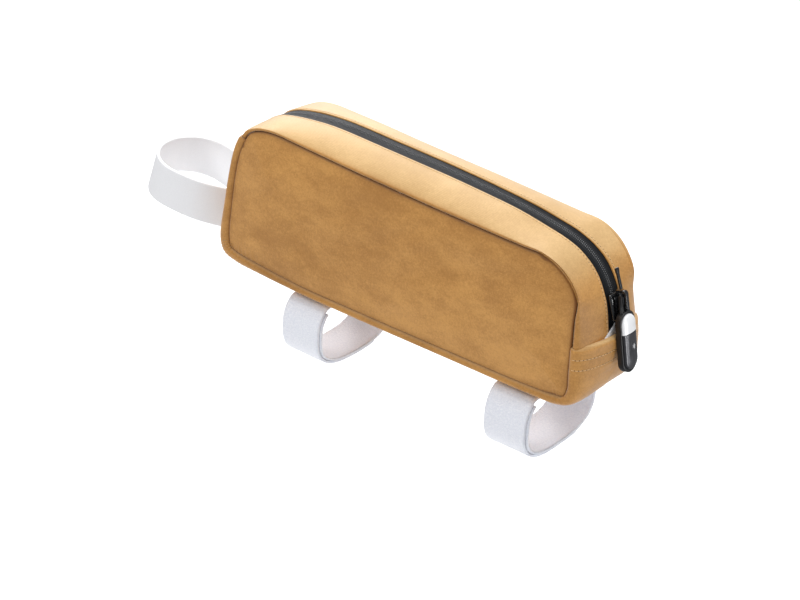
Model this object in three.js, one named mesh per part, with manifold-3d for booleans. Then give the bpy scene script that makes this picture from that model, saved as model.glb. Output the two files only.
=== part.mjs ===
// A bicycle's top tube bag: a zipped pouch of coated canvas with three straps.
// Millimetres. +X is the bicycle's rear, +Y its right side, +Z up.
// The origin is the middle of the underside, where the bag sits on the tube.

import * as THREE from 'three';
import { mergeVertices } from 'three/addons/utils/BufferGeometryUtils.js';
import Module from 'manifold-3d';

// Main sizes of the pouch
const half_length = 120.8;
const bag_height = 92;
const seam_width = 53;
const cloth = 1.6;
const gap = 0.3;

// Side panels
const side_bulge = 2.4;
const seam_groove = 0.9;
const dent_depth = 1.1;

// Rear lip: the hem of the base strip stands off the zip behind it
const lip_stand = 3.4;
const hem_extra = 0.6;

// Zip
const zip_width = 10.9;
const coil_width = 1.7;
const tape_recess = 0.6;
const coil_recess = 0.35;
const zip_tuck = 7; // how far the zip runs on behind the lip

// White tab above the lip, at the zip's lower end
const tab_width = 25;
const tab_rise = 4.4;
const tab_cloth = 0.8;
const tab_peak = 2.5;
const tab_far = 8;

// Slider
const slider_length = 14;
const slider_width = 11;
const slider_tip_width = 8;
const slider_thick = 2.6;
const bridge_width = 2.4;
const bridge_length = 9.4;
const bridge_height = 5.4;
const bridge_wall = 1.3;
const slider_place = 0.5425; // share of bag_height
const tail_length = 11;
const tail_width = 2.4;
const tail_thick = 1.1;
const tail_lean = 21;

// Puller: its frame hangs from the slider's bridge and leans off the lip
const pull_lean = 11;
const pull_width = 12.6;
const pull_top = 7.9;
const pull_length = 39.9;
const pull_thick = 3.3;
const pull_back = 1.6;
const neck_width = 5.4;
const eye_bar = 1.5;
const eye_clear = 0.5;
const insert_border = 1;
const insert_end_border = 1.7;
const insert_thick = 2.4;
const insert_round = 1.2;
const insert_split = 19.1;
const insert_sink = 0.5;
const dimple_radius = 2.7;
const dimple_deep = 0.7;
const dimple_place = 26.4;

// Hook-and-loop straps round the top tube
const strap_width = 25.4;
const strap_thick = 1.5;
const strap_layer_gap = 0.4;
const tube_width = 57;
const tube_height = 35.5;
const tube_squareness = 2.8;
const front_strap_place = -0.447; // share of half_length
const rear_strap_place = 0.682;

// Steerer strap
const steerer_width = 25.4;
const steerer_thick = 1.9;
const steerer_radius = 23.2;
const steerer_reach = 45;
const steerer_root = 6.5;
const steerer_height = 21;
const steerer_rise = 8.3;
const steerer_lean = 17.7;

// The outline of the pouch, clockwise from the front top corner. Each row is
// one station. The x columns are shares of half_length, the z columns shares of
// bag_height: seam is the side seam and mid the middle of the strip round the
// pouch. flat and turn shape the strip between them: a large flat keeps it flat
// until close to the seam, and a small turn rolls it down steeply there.
const outline = [
  { at: 'brow',           seamX: -0.838, seamZ: 0.842, midX: -0.882, midZ: 0.832, flat: 4.0, turn: 0.50 },
  { at: 'front_corner',   seamX: -0.813, seamZ: 0.885, midX: -0.858, midZ: 0.883, flat: 3.0, turn: 0.55 },
  { at: 'front_shoulder', seamX: -0.762, seamZ: 0.917, midX: -0.799, midZ: 0.935, flat: 2.6, turn: 0.60 },
  { at: 'front_top',      seamX: -0.679, seamZ: 0.934, midX: -0.704, midZ: 0.971, flat: 2.4, turn: 0.66 },
  { at: 'crest',          seamX: -0.497, seamZ: 0.921, midX: -0.497, midZ: 0.999, flat: 2.2, turn: 0.66 },
  { at: 'top_1',          seamX: -0.166, seamZ: 0.891, midX: -0.166, midZ: 0.982, flat: 2.2, turn: 0.66 },
  { at: 'top_2',          seamX:  0.166, seamZ: 0.867, midX:  0.166, midZ: 0.959, flat: 2.2, turn: 0.66 },
  { at: 'top_3',          seamX:  0.497, seamZ: 0.849, midX:  0.497, midZ: 0.920, flat: 2.3, turn: 0.66 },
  { at: 'rear_top',       seamX:  0.662, seamZ: 0.842, midX:  0.654, midZ: 0.887, flat: 2.4, turn: 0.66 },
  { at: 'turn_1',         seamX:  0.762, seamZ: 0.839, midX:  0.753, midZ: 0.859, flat: 2.6, turn: 0.60 },
  { at: 'turn_2',         seamX:  0.836, seamZ: 0.807, midX:  0.836, midZ: 0.813, flat: 3.0, turn: 0.55 },
  { at: 'turn_3',         seamX:  0.898, seamZ: 0.746, midX:  0.902, midZ: 0.746, flat: 3.0, turn: 0.50 },
  { at: 'turn_4',         seamX:  0.939, seamZ: 0.658, midX:  0.955, midZ: 0.641, flat: 3.0, turn: 0.50 },
  { at: 'rear',           seamX:  0.936, seamZ: 0.543, midX:  0.980, midZ: 0.536, flat: 3.0, turn: 0.50 },
  { at: 'lip',            seamX:  0.937, seamZ: 0.372, midX:  0.998, midZ: 0.372, flat: 3.0, turn: 0.50 },
  { at: 'pocket',         seamX:  0.939, seamZ: 0.217, midX:  1.002, midZ: 0.217, flat: 3.5, turn: 0.50 },
  { at: 'rear_foot',      seamX:  0.940, seamZ: 0.125, midX:  0.992, midZ: 0.114, flat: 5.0, turn: 0.50 },
  { at: 'rear_corner',    seamX:  0.922, seamZ: 0.072, midX:  0.954, midZ: 0.039, flat: 7.0, turn: 0.50 },
  { at: 'rear_sole',      seamX:  0.873, seamZ: 0.057, midX:  0.890, midZ: 0.004, flat: 8.0, turn: 0.50 },
  { at: 'base_1',         seamX:  0.745, seamZ: 0.045, midX:  0.762, midZ: 0.000, flat: 9.0, turn: 0.50 },
  { at: 'base_2',         seamX:  0.331, seamZ: 0.040, midX:  0.331, midZ: 0.000, flat: 9.0, turn: 0.50 },
  { at: 'base_3',         seamX: -0.166, seamZ: 0.039, midX: -0.166, midZ: 0.000, flat: 9.0, turn: 0.50 },
  { at: 'base_4',         seamX: -0.497, seamZ: 0.043, midX: -0.497, midZ: 0.000, flat: 9.0, turn: 0.50 },
  { at: 'rocker',         seamX: -0.745, seamZ: 0.067, midX: -0.762, midZ: 0.004, flat: 9.0, turn: 0.50 },
  { at: 'toe',            seamX: -0.877, seamZ: 0.087, midX: -0.902, midZ: 0.017, flat: 9.0, turn: 0.50 },
  { at: 'toe_corner',     seamX: -0.924, seamZ: 0.115, midX: -0.974, midZ: 0.048, flat: 9.0, turn: 0.50 },
  { at: 'front_foot',     seamX: -0.934, seamZ: 0.174, midX: -1.000, midZ: 0.130, flat: 9.0, turn: 0.50 },
  { at: 'front_1',        seamX: -0.921, seamZ: 0.391, midX: -0.970, midZ: 0.370, flat: 9.0, turn: 0.50 },
  { at: 'front_2',        seamX: -0.891, seamZ: 0.652, midX: -0.924, midZ: 0.652, flat: 8.0, turn: 0.50 },
  { at: 'front_3',        seamX: -0.866, seamZ: 0.766, midX: -0.901, midZ: 0.772, flat: 6.0, turn: 0.50 },
];

// Soft dents and swellings of the side panels. x and z are shares like the
// outline's, reach a share of bag_height and depth a share of dent_depth.
const dents = [
  { side: -1, x: -0.60, z: 0.62, reach: 0.30, depth:  0.5 },
  { side: -1, x: -0.42, z: 0.36, reach: 0.26, depth: -0.8 },
  { side: -1, x: -0.12, z: 0.60, reach: 0.32, depth: -0.6 },
  { side: -1, x:  0.14, z: 0.34, reach: 0.28, depth:  0.6 },
  { side: -1, x:  0.38, z: 0.58, reach: 0.26, depth: -0.9 },
  { side: -1, x:  0.72, z: 0.40, reach: 0.30, depth:  0.7 },
  { side:  1, x: -0.50, z: 0.40, reach: 0.30, depth: -0.7 },
  { side:  1, x: -0.10, z: 0.62, reach: 0.28, depth:  0.6 },
  { side:  1, x:  0.22, z: 0.36, reach: 0.32, depth: -0.8 },
  { side:  1, x:  0.64, z: 0.56, reach: 0.28, depth:  0.5 },
];

// Places across a strip, as shares from its inner edge to the side seam
const across = [0, 0.3, 0.62, 0.86, 0.96, 1];

// Rings of a side panel, from the seam to the middle
const rings = [1, 0.97, 0.88, 0.68, 0.42, 0.18];

const steps_per_station = 3;
const half_seam = seam_width / 2;

const canvas = new THREE.MeshStandardMaterial({ color: 0xc79455, roughness: 0.75, metalness: 0 });
const laminate = new THREE.MeshStandardMaterial({ color: 0x26292d, roughness: 0.45, metalness: 0 });
const black_gloss = new THREE.MeshStandardMaterial({ color: 0x0b0b0d, roughness: 0.2, metalness: 0 });
const rubber = new THREE.MeshStandardMaterial({ color: 0x121214, roughness: 0.6, metalness: 0 });
const white_gloss = new THREE.MeshStandardMaterial({ color: 0xf2f2f4, roughness: 0.15, metalness: 0 });
const grey_gloss = new THREE.MeshStandardMaterial({ color: 0x55565c, roughness: 0.25, metalness: 0.4 });
const white_loop = new THREE.MeshStandardMaterial({ color: 0xf0f0f6, roughness: 0.9, metalness: 0 });
const white_satin = new THREE.MeshStandardMaterial({ color: 0xf3f3f5, roughness: 0.4, metalness: 0 });
const white_cloth = new THREE.MeshStandardMaterial({ color: 0xf4f4f4, roughness: 0.7, metalness: 0 });

const wasm = await Module();
wasm.setup();
const { Manifold, Mesh } = wasm;

const bag = new THREE.Group();

function add(name, geometry, material, parent = bag) {
  const mesh = new THREE.Mesh(geometry, material);
  mesh.name = name;
  parent.add(mesh);
  return mesh;
}

// Closed solids from points and triangles

function solid(points, triangles) {
  const raw = new THREE.BufferGeometry();
  raw.setAttribute('position', new THREE.Float32BufferAttribute(points.flatMap((p) => [p.x, p.y, p.z]), 3));
  raw.setIndex(triangles);
  const merged = mergeVertices(raw, 1e-4);
  const old = merged.index.array;
  const kept = [];
  for (let i = 0; i < old.length; i += 3) {
    const [a, b, c] = [old[i], old[i + 1], old[i + 2]];
    if (a !== b && b !== c && a !== c) kept.push(a, b, c);
  }
  merged.setIndex(kept);
  if (volume(merged) < 0) {
    for (let i = 0; i < kept.length; i += 3) {
      [kept[i + 1], kept[i + 2]] = [kept[i + 2], kept[i + 1]];
    }
    merged.setIndex(kept);
  }
  merged.computeVertexNormals();
  return merged;
}

function volume(geometry) {
  const at = geometry.attributes.position;
  const index = geometry.index.array;
  const [a, b, c] = [new THREE.Vector3(), new THREE.Vector3(), new THREE.Vector3()];
  let sum = 0;
  for (let i = 0; i < index.length; i += 3) {
    a.fromBufferAttribute(at, index[i]);
    b.fromBufferAttribute(at, index[i + 1]);
    c.fromBufferAttribute(at, index[i + 2]);
    sum += a.dot(b.cross(c)) / 6;
  }
  return sum;
}

// A sheet of cloth: point(i, j, face) gives its outside (face 0) and its inside
// (face 1) for i in 0..rows and j in 0..cols. A ring sheet joins its last row to
// its first, and a capped one ends at a single point past its last column.
function sheet(rows, cols, point, { ring = false, cap = null } = {}) {
  const points = [];
  const count = ring ? rows : rows + 1;
  for (const face of [0, 1]) {
    for (let i = 0; i < count; i++) {
      for (let j = 0; j <= cols; j++) points.push(point(i, j, face));
    }
  }
  const id = (face, i, j) => face * count * (cols + 1) + (i % count) * (cols + 1) + j;
  const triangles = [];
  const quad = (a, b, c, d) => triangles.push(a, b, c, a, c, d);
  for (let i = 0; i < rows; i++) {
    for (let j = 0; j < cols; j++) {
      quad(id(0, i, j), id(0, i + 1, j), id(0, i + 1, j + 1), id(0, i, j + 1));
      quad(id(1, i, j), id(1, i, j + 1), id(1, i + 1, j + 1), id(1, i + 1, j));
    }
    quad(id(0, i + 1, 0), id(0, i, 0), id(1, i, 0), id(1, i + 1, 0));
    if (!cap) quad(id(0, i, cols), id(0, i + 1, cols), id(1, i + 1, cols), id(1, i, cols));
  }
  if (!ring) {
    for (let j = 0; j < cols; j++) {
      quad(id(0, 0, j), id(0, 0, j + 1), id(1, 0, j + 1), id(1, 0, j));
      quad(id(0, rows, j + 1), id(0, rows, j), id(1, rows, j), id(1, rows, j + 1));
    }
  }
  if (cap) {
    const tips = [points.length, points.length + 1];
    points.push(cap(0), cap(1));
    for (let i = 0; i < rows; i++) {
      triangles.push(id(0, i, cols), id(0, i + 1, cols), tips[0]);
      triangles.push(id(1, i + 1, cols), id(1, i, cols), tips[1]);
    }
  }
  return solid(points, triangles);
}

// The pouch's two outlines, and the strip of cloth between them

const loop = (column) => new THREE.CatmullRomCurve3(outline.map((row) => new THREE.Vector3(
  row[column + 'X'] * half_length,
  0,
  row[column + 'Z'] * bag_height,
)), true, 'centripetal');

const seam_loop = loop('seam');
const mid_loop = loop('mid');

const station = (name) => outline.findIndex((row) => row.at === name) / outline.length;
const wrap = (u) => ((u % 1) + 1) % 1;

function outward(curve, u) {
  const ahead = curve.getPoint(wrap(u + 1e-4));
  const behind = curve.getPoint(wrap(u - 1e-4));
  const along = ahead.sub(behind).normalize();
  return new THREE.Vector3(-along.z, 0, along.x);
}

// How far u moves along the middle outline for one millimetre
function share_of_mm(u) {
  const ahead = mid_loop.getPoint(wrap(u + 1e-4));
  const behind = mid_loop.getPoint(wrap(u - 1e-4));
  return 2e-4 / ahead.distanceTo(behind);
}

function blended(column, u) {
  const place = wrap(u) * outline.length;
  const low = Math.floor(place) % outline.length;
  const high = (low + 1) % outline.length;
  return THREE.MathUtils.lerp(outline[low][column], outline[high][column], place - Math.floor(place));
}

// A point of the strip at u round the outline and y across it, inset under its
// outside, with stand pushing its middle outward
function strip_point(u, y, inset, stand = 0) {
  const edge = seam_loop.getPoint(wrap(u));
  const middle = mid_loop.getPoint(wrap(u));
  const share = Math.min(Math.abs(y) / half_seam, 1);
  middle.addScaledVector(outward(mid_loop, u), stand * (1 - share * share) - inset);
  const rise = Math.pow(1 - Math.pow(share, blended('flat', u)), blended('turn', u));
  const at = edge.lerp(middle, rise);
  at.y = Math.sign(y) * share * (half_seam - inset);
  return at;
}

// Side panels

function dented(side, x, z) {
  let sum = 0;
  for (const dent of dents) {
    if (dent.side !== side) continue;
    const away = Math.hypot(x - dent.x * half_length, z - dent.z * bag_height) / (dent.reach * bag_height);
    sum += dent.depth * dent_depth * Math.exp(-2 * away * away);
  }
  return sum;
}

function side_panel(side) {
  const centre = new THREE.Vector3(0, 0, bag_height * 0.47);
  const around = outline.length * 2;
  const point_at = (u, ring, face) => {
    const edge = seam_loop.getPoint(u).addScaledVector(outward(seam_loop, u), -gap - 0.05);
    const at = centre.clone().lerp(edge, ring);
    const lift = ring === 1 ? gap : gap + seam_groove + side_bulge * (1 - ring ** 4);
    const soft = 1 - ring ** 3;
    at.y = side * (half_seam + lift + soft * dented(side, at.x, at.z) - face * cloth);
    return at;
  };
  return sheet(around, rings.length - 1, (i, j, face) => point_at((i % around) / around, rings[j], face), {
    ring: true,
    cap: (face) => point_at(0, 0, face),
  });
}

add('side_panel_left', side_panel(-1), canvas);
add('side_panel_right', side_panel(1), canvas);

// Top strips, from the front's cross seam over the top and down to the lip

const strip_start = station('brow') + share_of_mm(station('brow')) * gap / 2;
const strip_end = station('lip') - share_of_mm(station('lip')) * gap;
const strip_steps = (outline.findIndex((row) => row.at === 'lip')) * steps_per_station;
const along_strip = (i) => THREE.MathUtils.lerp(strip_start, strip_end, i / strip_steps);

function top_strip(side) {
  const first = zip_width / 2;
  return sheet(strip_steps, across.length - 1, (i, j, face) => {
    const y = side * THREE.MathUtils.lerp(first, half_seam, across[j]);
    return strip_point(along_strip(i), y, face * cloth);
  });
}

add('top_strip_left', top_strip(-1), canvas);
add('top_strip_right', top_strip(1), canvas);

// Base strip: the front face, the base and the rear up to the lip

const base_start = station('lip');
const base_end = 1 + station('brow') - share_of_mm(station('brow')) * gap / 2;
const base_steps = (outline.length - outline.findIndex((row) => row.at === 'lip')) * steps_per_station;

function base_gusset() {
  const marks = [...across.slice(1).reverse().map((a) => -a), ...across];
  const lip_height = outline.find((row) => row.at === 'lip').midZ * bag_height;
  const foot_height = outline.find((row) => row.at === 'rear_foot').midZ * bag_height;
  return sheet(base_steps, marks.length - 1, (i, j, face) => {
    const u = THREE.MathUtils.lerp(base_start, base_end, i / base_steps);
    const at = strip_point(u, marks[j] * half_seam, 0);
    const up = THREE.MathUtils.smoothstep(at.z, foot_height, lip_height);
    const ramp = at.x > 0 ? up : 0;
    return strip_point(u, marks[j] * half_seam, face * (cloth + hem_extra * ramp), lip_stand * ramp);
  });
}

add('base_gusset', base_gusset(), canvas);

// Zip

const zip_end = station('lip') + share_of_mm(station('lip')) * zip_tuck;
const zip_steps = strip_steps + 3;

function zip_band(from, to, top, bottom) {
  return sheet(zip_steps, 1, (i, j, face) => {
    const u = THREE.MathUtils.lerp(strip_start, zip_end, i / zip_steps);
    return strip_point(u, j ? to : from, face ? bottom : top);
  });
}

const tape_out = zip_width / 2 - gap;
const tape_in = coil_width / 2 + gap;

add('zip_tape_left', zip_band(-tape_out, -tape_in, tape_recess, cloth), laminate);
add('zip_tape_right', zip_band(tape_in, tape_out, tape_recess, cloth), laminate);
add('zip_coil', zip_band(-coil_width / 2, coil_width / 2, coil_recess, cloth), laminate);

// White tab above the lip, with its top edge rising towards the far side

function zip_end_tab() {
  const steps = 12;
  const marks = [0, 0.5, 1];
  const low = station('lip') - share_of_mm(station('lip')) * gap;
  const rise_at = (y) => {
    const near = (y + tab_width / 2) / (tab_peak + tab_width / 2);
    const far = (tab_width / 2 - y) / (tab_width / 2 - tab_far);
    return gap + tab_rise * Math.min(near, far, 1);
  };
  return sheet(steps, marks.length - 1, (i, j, face) => {
    const y = THREE.MathUtils.lerp(-tab_width / 2, tab_width / 2, i / steps);
    const u = low - share_of_mm(low) * rise_at(y) * marks[j];
    return strip_point(u, y, -(gap + (1 - face) * tab_cloth));
  });
}

add('zip_end_tab', zip_end_tab(), white_cloth);

// Slider: a body that rides on the zip, with a bridge over it

function place_on_zip(height) {
  let u = station('turn_3');
  while (mid_loop.getPoint(u).z > height) u += 1e-4;
  return u;
}

const slider_u = place_on_zip(slider_place * bag_height);
const slider_at = mid_loop.getPoint(slider_u);
const slider_out = outward(mid_loop, slider_u);
const slider_tilt = Math.atan2(slider_out.z, slider_out.x);

// The slider's own frame: x stands out of the zip and z runs up along it
const slider_frame = new THREE.Group();
slider_frame.position.copy(slider_at);
slider_frame.rotation.y = -slider_tilt;
slider_frame.updateMatrix();

function rounded_box_shape(left, right, low, high, radius) {
  const shape = new THREE.Shape();
  shape.moveTo(left + radius, low);
  shape.lineTo(right - radius, low);
  shape.quadraticCurveTo(right, low, right, low + radius);
  shape.lineTo(right, high - radius);
  shape.quadraticCurveTo(right, high, right - radius, high);
  shape.lineTo(left + radius, high);
  shape.quadraticCurveTo(left, high, left, high - radius);
  shape.lineTo(left, low + radius);
  shape.quadraticCurveTo(left, low, left + radius, low);
  return shape;
}

// Shapes are drawn as (y, z) and extruded along +x
function extrude_out(shape, depth, bevel, segments = 1, curves = 3) {
  const geometry = new THREE.ExtrudeGeometry(shape, {
    depth: depth - 2 * bevel,
    bevelEnabled: bevel > 0,
    bevelThickness: bevel,
    bevelSize: bevel,
    bevelOffset: -bevel,
    bevelSegments: segments,
    curveSegments: curves,
  });
  geometry.translate(0, 0, bevel);
  geometry.applyMatrix4(new THREE.Matrix4().makeBasis(
    new THREE.Vector3(0, 1, 0),
    new THREE.Vector3(0, 0, 1),
    new THREE.Vector3(1, 0, 0),
  ));
  return geometry;
}

// Shapes are drawn as (x, z) and extruded along y, centred on y = 0
function extrude_across(shape, width, curves = 3) {
  const geometry = new THREE.ExtrudeGeometry(shape, { depth: width, bevelEnabled: false, curveSegments: curves });
  geometry.rotateX(Math.PI / 2);
  geometry.translate(0, width / 2, 0);
  return geometry;
}

function to_manifold(geometry) {
  const bare = new THREE.BufferGeometry();
  bare.setAttribute('position', geometry.attributes.position.clone());
  if (geometry.index) bare.setIndex(geometry.index.clone());
  const merged = mergeVertices(bare, 1e-4);
  return new Manifold(new Mesh({
    numProp: 3,
    vertProperties: new Float32Array(merged.attributes.position.array),
    triVerts: new Uint32Array(merged.index.array),
  }));
}

function from_manifold(manifold) {
  const mesh = manifold.getMesh();
  const points = [];
  for (let i = 0; i < mesh.vertProperties.length; i += mesh.numProp) {
    points.push(new THREE.Vector3(...mesh.vertProperties.slice(i, i + 3)));
  }
  return solid(points, Array.from(mesh.triVerts));
}

function slider_body() {
  const half = slider_length / 2;
  const wing = slider_width / 2;
  const tip = slider_tip_width / 2;
  const plan = new THREE.Shape();
  plan.moveTo(-tip, -half);
  plan.lineTo(tip, -half);
  plan.lineTo(wing, half * 0.1);
  plan.lineTo(wing, half - 2);
  plan.quadraticCurveTo(wing, half, wing - 2, half);
  plan.lineTo(2 - wing, half);
  plan.quadraticCurveTo(-wing, half, -wing, half - 2);
  plan.lineTo(-wing, half * 0.1);
  plan.closePath();
  return extrude_out(plan, slider_thick, 0.5).translate(gap, 0, 0);
}

const bridge_top = slider_length / 2 + 1.5;
const bridge_base = gap + slider_thick;

function slider_bridge() {
  const low = bridge_top - bridge_length;
  const out = bridge_base + bridge_height;
  const side = rounded_box_shape(bridge_base - 1, out, low, bridge_top, 1.8);
  side.holes.push(rounded_box_shape(
    bridge_base + 0.2,
    out - bridge_wall,
    low + bridge_wall,
    bridge_top - bridge_wall,
    0.8,
  ));
  return extrude_across(side, bridge_width);
}

const slider_part = to_manifold(slider_body()).add(to_manifold(slider_bridge()));
const slider_geometry = from_manifold(slider_part).applyMatrix4(slider_frame.matrix);
add('zip_slider', slider_geometry, black_gloss);

// Where the puller's eye bar sits in the bridge: against its outer, upper wall
const eye_local = new THREE.Vector3(
  bridge_base + bridge_height - bridge_wall - eye_bar / 2 - eye_clear,
  0,
  bridge_top - bridge_wall - eye_bar / 2 - eye_clear,
);
const pivot = eye_local.applyMatrix4(slider_frame.matrix);

// Small tab that stands up from the bridge
const tail = new THREE.Group();
tail.position.set(bridge_base + bridge_height / 2 - 0.6, 0, bridge_top + gap);
tail.applyMatrix4(slider_frame.matrix);
tail.rotation.set(0, -tail_lean * Math.PI / 180, 0);
bag.add(tail);
const tail_shape = rounded_box_shape(-tail_width / 2, tail_width / 2, 0, tail_length, 0.5);
add('slider_tail', extrude_out(tail_shape, tail_thick, 0.3).translate(-tail_thick / 2, 0, 0), rubber, tail);

// Puller, in its own frame: x is its outside face and z runs up to its pivot

const pull = new THREE.Group();
pull.position.copy(pivot);
pull.rotation.y = -pull_lean * Math.PI / 180;
bag.add(pull);

function capsule_shape(width, top, bottom) {
  const radius = width / 2;
  const shape = new THREE.Shape();
  shape.absarc(0, -top - radius, radius, 0, Math.PI, false);
  shape.absarc(0, -bottom + radius, radius, Math.PI, 2 * Math.PI, false);
  shape.closePath();
  return shape;
}

function pull_frame() {
  const neck_half = neck_width / 2;
  const neck = new THREE.Shape();
  neck.moveTo(-neck_half, -pull_top - 4);
  neck.lineTo(neck_half, -pull_top - 4);
  neck.lineTo(neck_half, 0);
  neck.quadraticCurveTo(neck_half, eye_bar / 2, neck_half - 1.2, eye_bar / 2);
  neck.lineTo(1.2 - neck_half, eye_bar / 2);
  neck.quadraticCurveTo(-neck_half, eye_bar / 2, -neck_half, 0);
  neck.closePath();
  const eye_half = bridge_width / 2 + gap;
  neck.holes.push(rounded_box_shape(-eye_half, eye_half, -pull_top, -eye_bar / 2, 0.5));
  const neck_solid = extrude_out(neck, eye_bar, 0).translate(-eye_bar / 2, 0, 0);
  const body = extrude_out(capsule_shape(pull_width, pull_top, pull_length), pull_thick, 0.8, 2, 12);
  body.translate(-pull_back, 0, 0);
  const recess_shape = capsule_shape(
    pull_width - 2 * insert_border + 2 * gap,
    pull_top + insert_end_border - gap,
    pull_length - insert_end_border + gap,
  );
  const recess = extrude_out(recess_shape, 2, 0, 1, 12).translate(pull_thick - pull_back - insert_sink - gap, 0, 0);
  return from_manifold(to_manifold(body).add(to_manifold(neck_solid)).subtract(to_manifold(recess)));
}

add('pull_frame', pull_frame(), rubber, pull);

// The insert's white top and grey base, which meet across the puller

function insert_part(low, high) {
  const shape = capsule_shape(
    pull_width - 2 * insert_border,
    pull_top + insert_end_border,
    pull_length - insert_end_border,
  );
  const whole = extrude_out(shape, insert_thick, insert_round, 3, 10);
  whole.translate(pull_thick - pull_back - insert_sink, 0, 0);
  const keep = new THREE.BoxGeometry(4 * pull_thick, pull_width, high - low);
  keep.translate(0, 0, -(low + high) / 2);
  return to_manifold(whole).intersect(to_manifold(keep));
}

function dimple() {
  const front = pull_thick - pull_back - insert_sink + insert_thick;
  const disc = new THREE.CylinderGeometry(dimple_radius, dimple_radius - 0.4, 2 * dimple_deep, 20);
  disc.rotateZ(-Math.PI / 2);
  disc.translate(front, 0, -dimple_place);
  return to_manifold(disc);
}

add('pull_insert_top', from_manifold(insert_part(0, insert_split - gap / 2)), white_gloss, pull);
const grey_insert = insert_part(insert_split + gap / 2, pull_length).subtract(dimple());
add('pull_insert_base', from_manifold(grey_insert), grey_gloss, pull);

// Hook-and-loop straps. Each is one band: it starts under its own overlap on
// the near side, runs under the tube, up the far side, across beneath the bag
// and down over its start to its outer end under the tube.

const strap_top = -gap - strap_thick - gap;
const inner_end = -308;
const overlap_from = -26;
const overlap_full = -50;
const outer_end = -205;

function tube_point(angle, offset) {
  const half_w = tube_width / 2;
  const half_h = tube_height / 2;
  const round = 2 / tube_squareness;
  const a = angle * Math.PI / 180;
  const y = Math.sign(Math.sin(a)) * half_w * Math.abs(Math.sin(a)) ** round;
  const z = Math.sign(Math.cos(a)) * half_h * Math.abs(Math.cos(a)) ** round;
  const ny = Math.sign(y) * Math.abs(y / half_w) ** (tube_squareness - 1) / half_w;
  const nz = Math.sign(z) * Math.abs(z / half_h) ** (tube_squareness - 1) / half_h;
  const size = Math.hypot(ny, nz);
  return new THREE.Vector3(0, y + offset * ny / size, strap_top - half_h + z + offset * nz / size);
}

function tube_strap(x) {
  const steps = 60;
  const start = 360 + inner_end;
  return sheet(steps, 1, (i, j, face) => {
    const angle = THREE.MathUtils.lerp(360 - start, outer_end, i / steps);
    const climb = 1 - THREE.MathUtils.smoothstep(angle, overlap_full, overlap_from);
    const offset = gap + climb * (strap_thick + strap_layer_gap) + (1 - face) * strap_thick;
    const at = tube_point(angle, offset);
    at.x = x + (j - 0.5) * strap_width;
    return at;
  });
}

add('front_strap', tube_strap(front_strap_place * half_length), white_loop);
add('rear_strap', tube_strap(rear_strap_place * half_length), white_loop);

// Steerer strap: a closed loop, sewn flat to the front face at its root

function front_face_x(height) {
  let u = station('toe_corner');
  while (mid_loop.getPoint(wrap(u)).z < height) u += 5e-4;
  return mid_loop.getPoint(wrap(u)).x;
}

// The root lies along the chord of the front face that it covers, just clear
// of the face's bulge
const root_low = steerer_height - steerer_width / 2;
const root_high = steerer_height + steerer_width / 2;
const front_lean = Math.atan2(front_face_x(root_high) - front_face_x(root_low), steerer_width);
const chord_x = (z) => front_face_x(root_low) + (z - root_low) * Math.tan(front_lean);
const bulges = [0.1, 0.2, 0.3, 0.4, 0.5, 0.6, 0.7, 0.8, 0.9].map((share) => {
  const z = THREE.MathUtils.lerp(root_low, root_high, share);
  return chord_x(z) - front_face_x(z);
});
const face_x = chord_x(steerer_height) - Math.max(0, ...bulges);

function steerer_plan() {
  const root_x = face_x - gap;
  const ring_x = root_x - steerer_reach;
  const points = [
    new THREE.Vector3(root_x, -steerer_root * 0.5, 0),
    new THREE.Vector3(root_x - 0.6, -steerer_root, 0),
    new THREE.Vector3(root_x - 0.22 * steerer_reach, -0.55 * steerer_radius, 0),
    new THREE.Vector3(root_x - 0.55 * steerer_reach, -0.86 * steerer_radius, 0),
  ];
  const quarter = 5;
  for (let k = 0; k <= quarter; k++) {
    const a = k / quarter * Math.PI / 2;
    points.push(new THREE.Vector3(ring_x - steerer_radius * Math.sin(a), -steerer_radius * Math.cos(a), 0));
  }
  const far = points.slice(0, -1).reverse().map((p) => new THREE.Vector3(p.x, -p.y, 0));
  return new THREE.CatmullRomCurve3([...points, ...far], true, 'centripetal');
}

function steerer_strap() {
  const steps = 56;
  const plan = steerer_plan();
  const rad = Math.PI / 180;
  return sheet(steps, 1, (i, j, face) => {
    const u = (i % steps) / steps;
    const at = plan.getPointAt(u);
    const along = plan.getTangentAt(u);
    at.x += face * steerer_thick * along.y;
    at.y -= face * steerer_thick * along.x;
    const away = THREE.MathUtils.clamp((face_x - at.x) / steerer_reach, 0, 1);
    const lean = THREE.MathUtils.lerp(front_lean, steerer_lean * rad, away);
    const up = (j - 0.5) * steerer_width;
    at.z = steerer_height + (face_x - at.x) * Math.tan(steerer_rise * rad) + up * Math.cos(lean);
    at.x += up * Math.sin(lean);
    return at;
  }, { ring: true });
}

add('steerer_strap', steerer_strap(), white_satin);

export default bag;
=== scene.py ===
import math

import bpy
import numpy as np
from mathutils import Matrix, Vector, noise


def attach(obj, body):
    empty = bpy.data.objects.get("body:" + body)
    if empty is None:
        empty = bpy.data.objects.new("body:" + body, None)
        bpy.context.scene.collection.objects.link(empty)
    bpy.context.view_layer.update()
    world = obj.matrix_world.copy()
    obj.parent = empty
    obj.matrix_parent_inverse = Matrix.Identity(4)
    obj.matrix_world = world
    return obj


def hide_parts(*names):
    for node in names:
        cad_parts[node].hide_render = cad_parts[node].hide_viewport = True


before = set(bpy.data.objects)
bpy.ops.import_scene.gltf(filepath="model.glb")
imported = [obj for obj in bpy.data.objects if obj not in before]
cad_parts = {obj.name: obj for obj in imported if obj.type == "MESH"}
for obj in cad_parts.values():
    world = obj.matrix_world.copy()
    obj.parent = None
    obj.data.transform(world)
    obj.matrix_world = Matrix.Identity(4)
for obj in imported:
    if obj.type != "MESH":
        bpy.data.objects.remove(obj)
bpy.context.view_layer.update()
mm = 0.001

# Shared helpers


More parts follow.
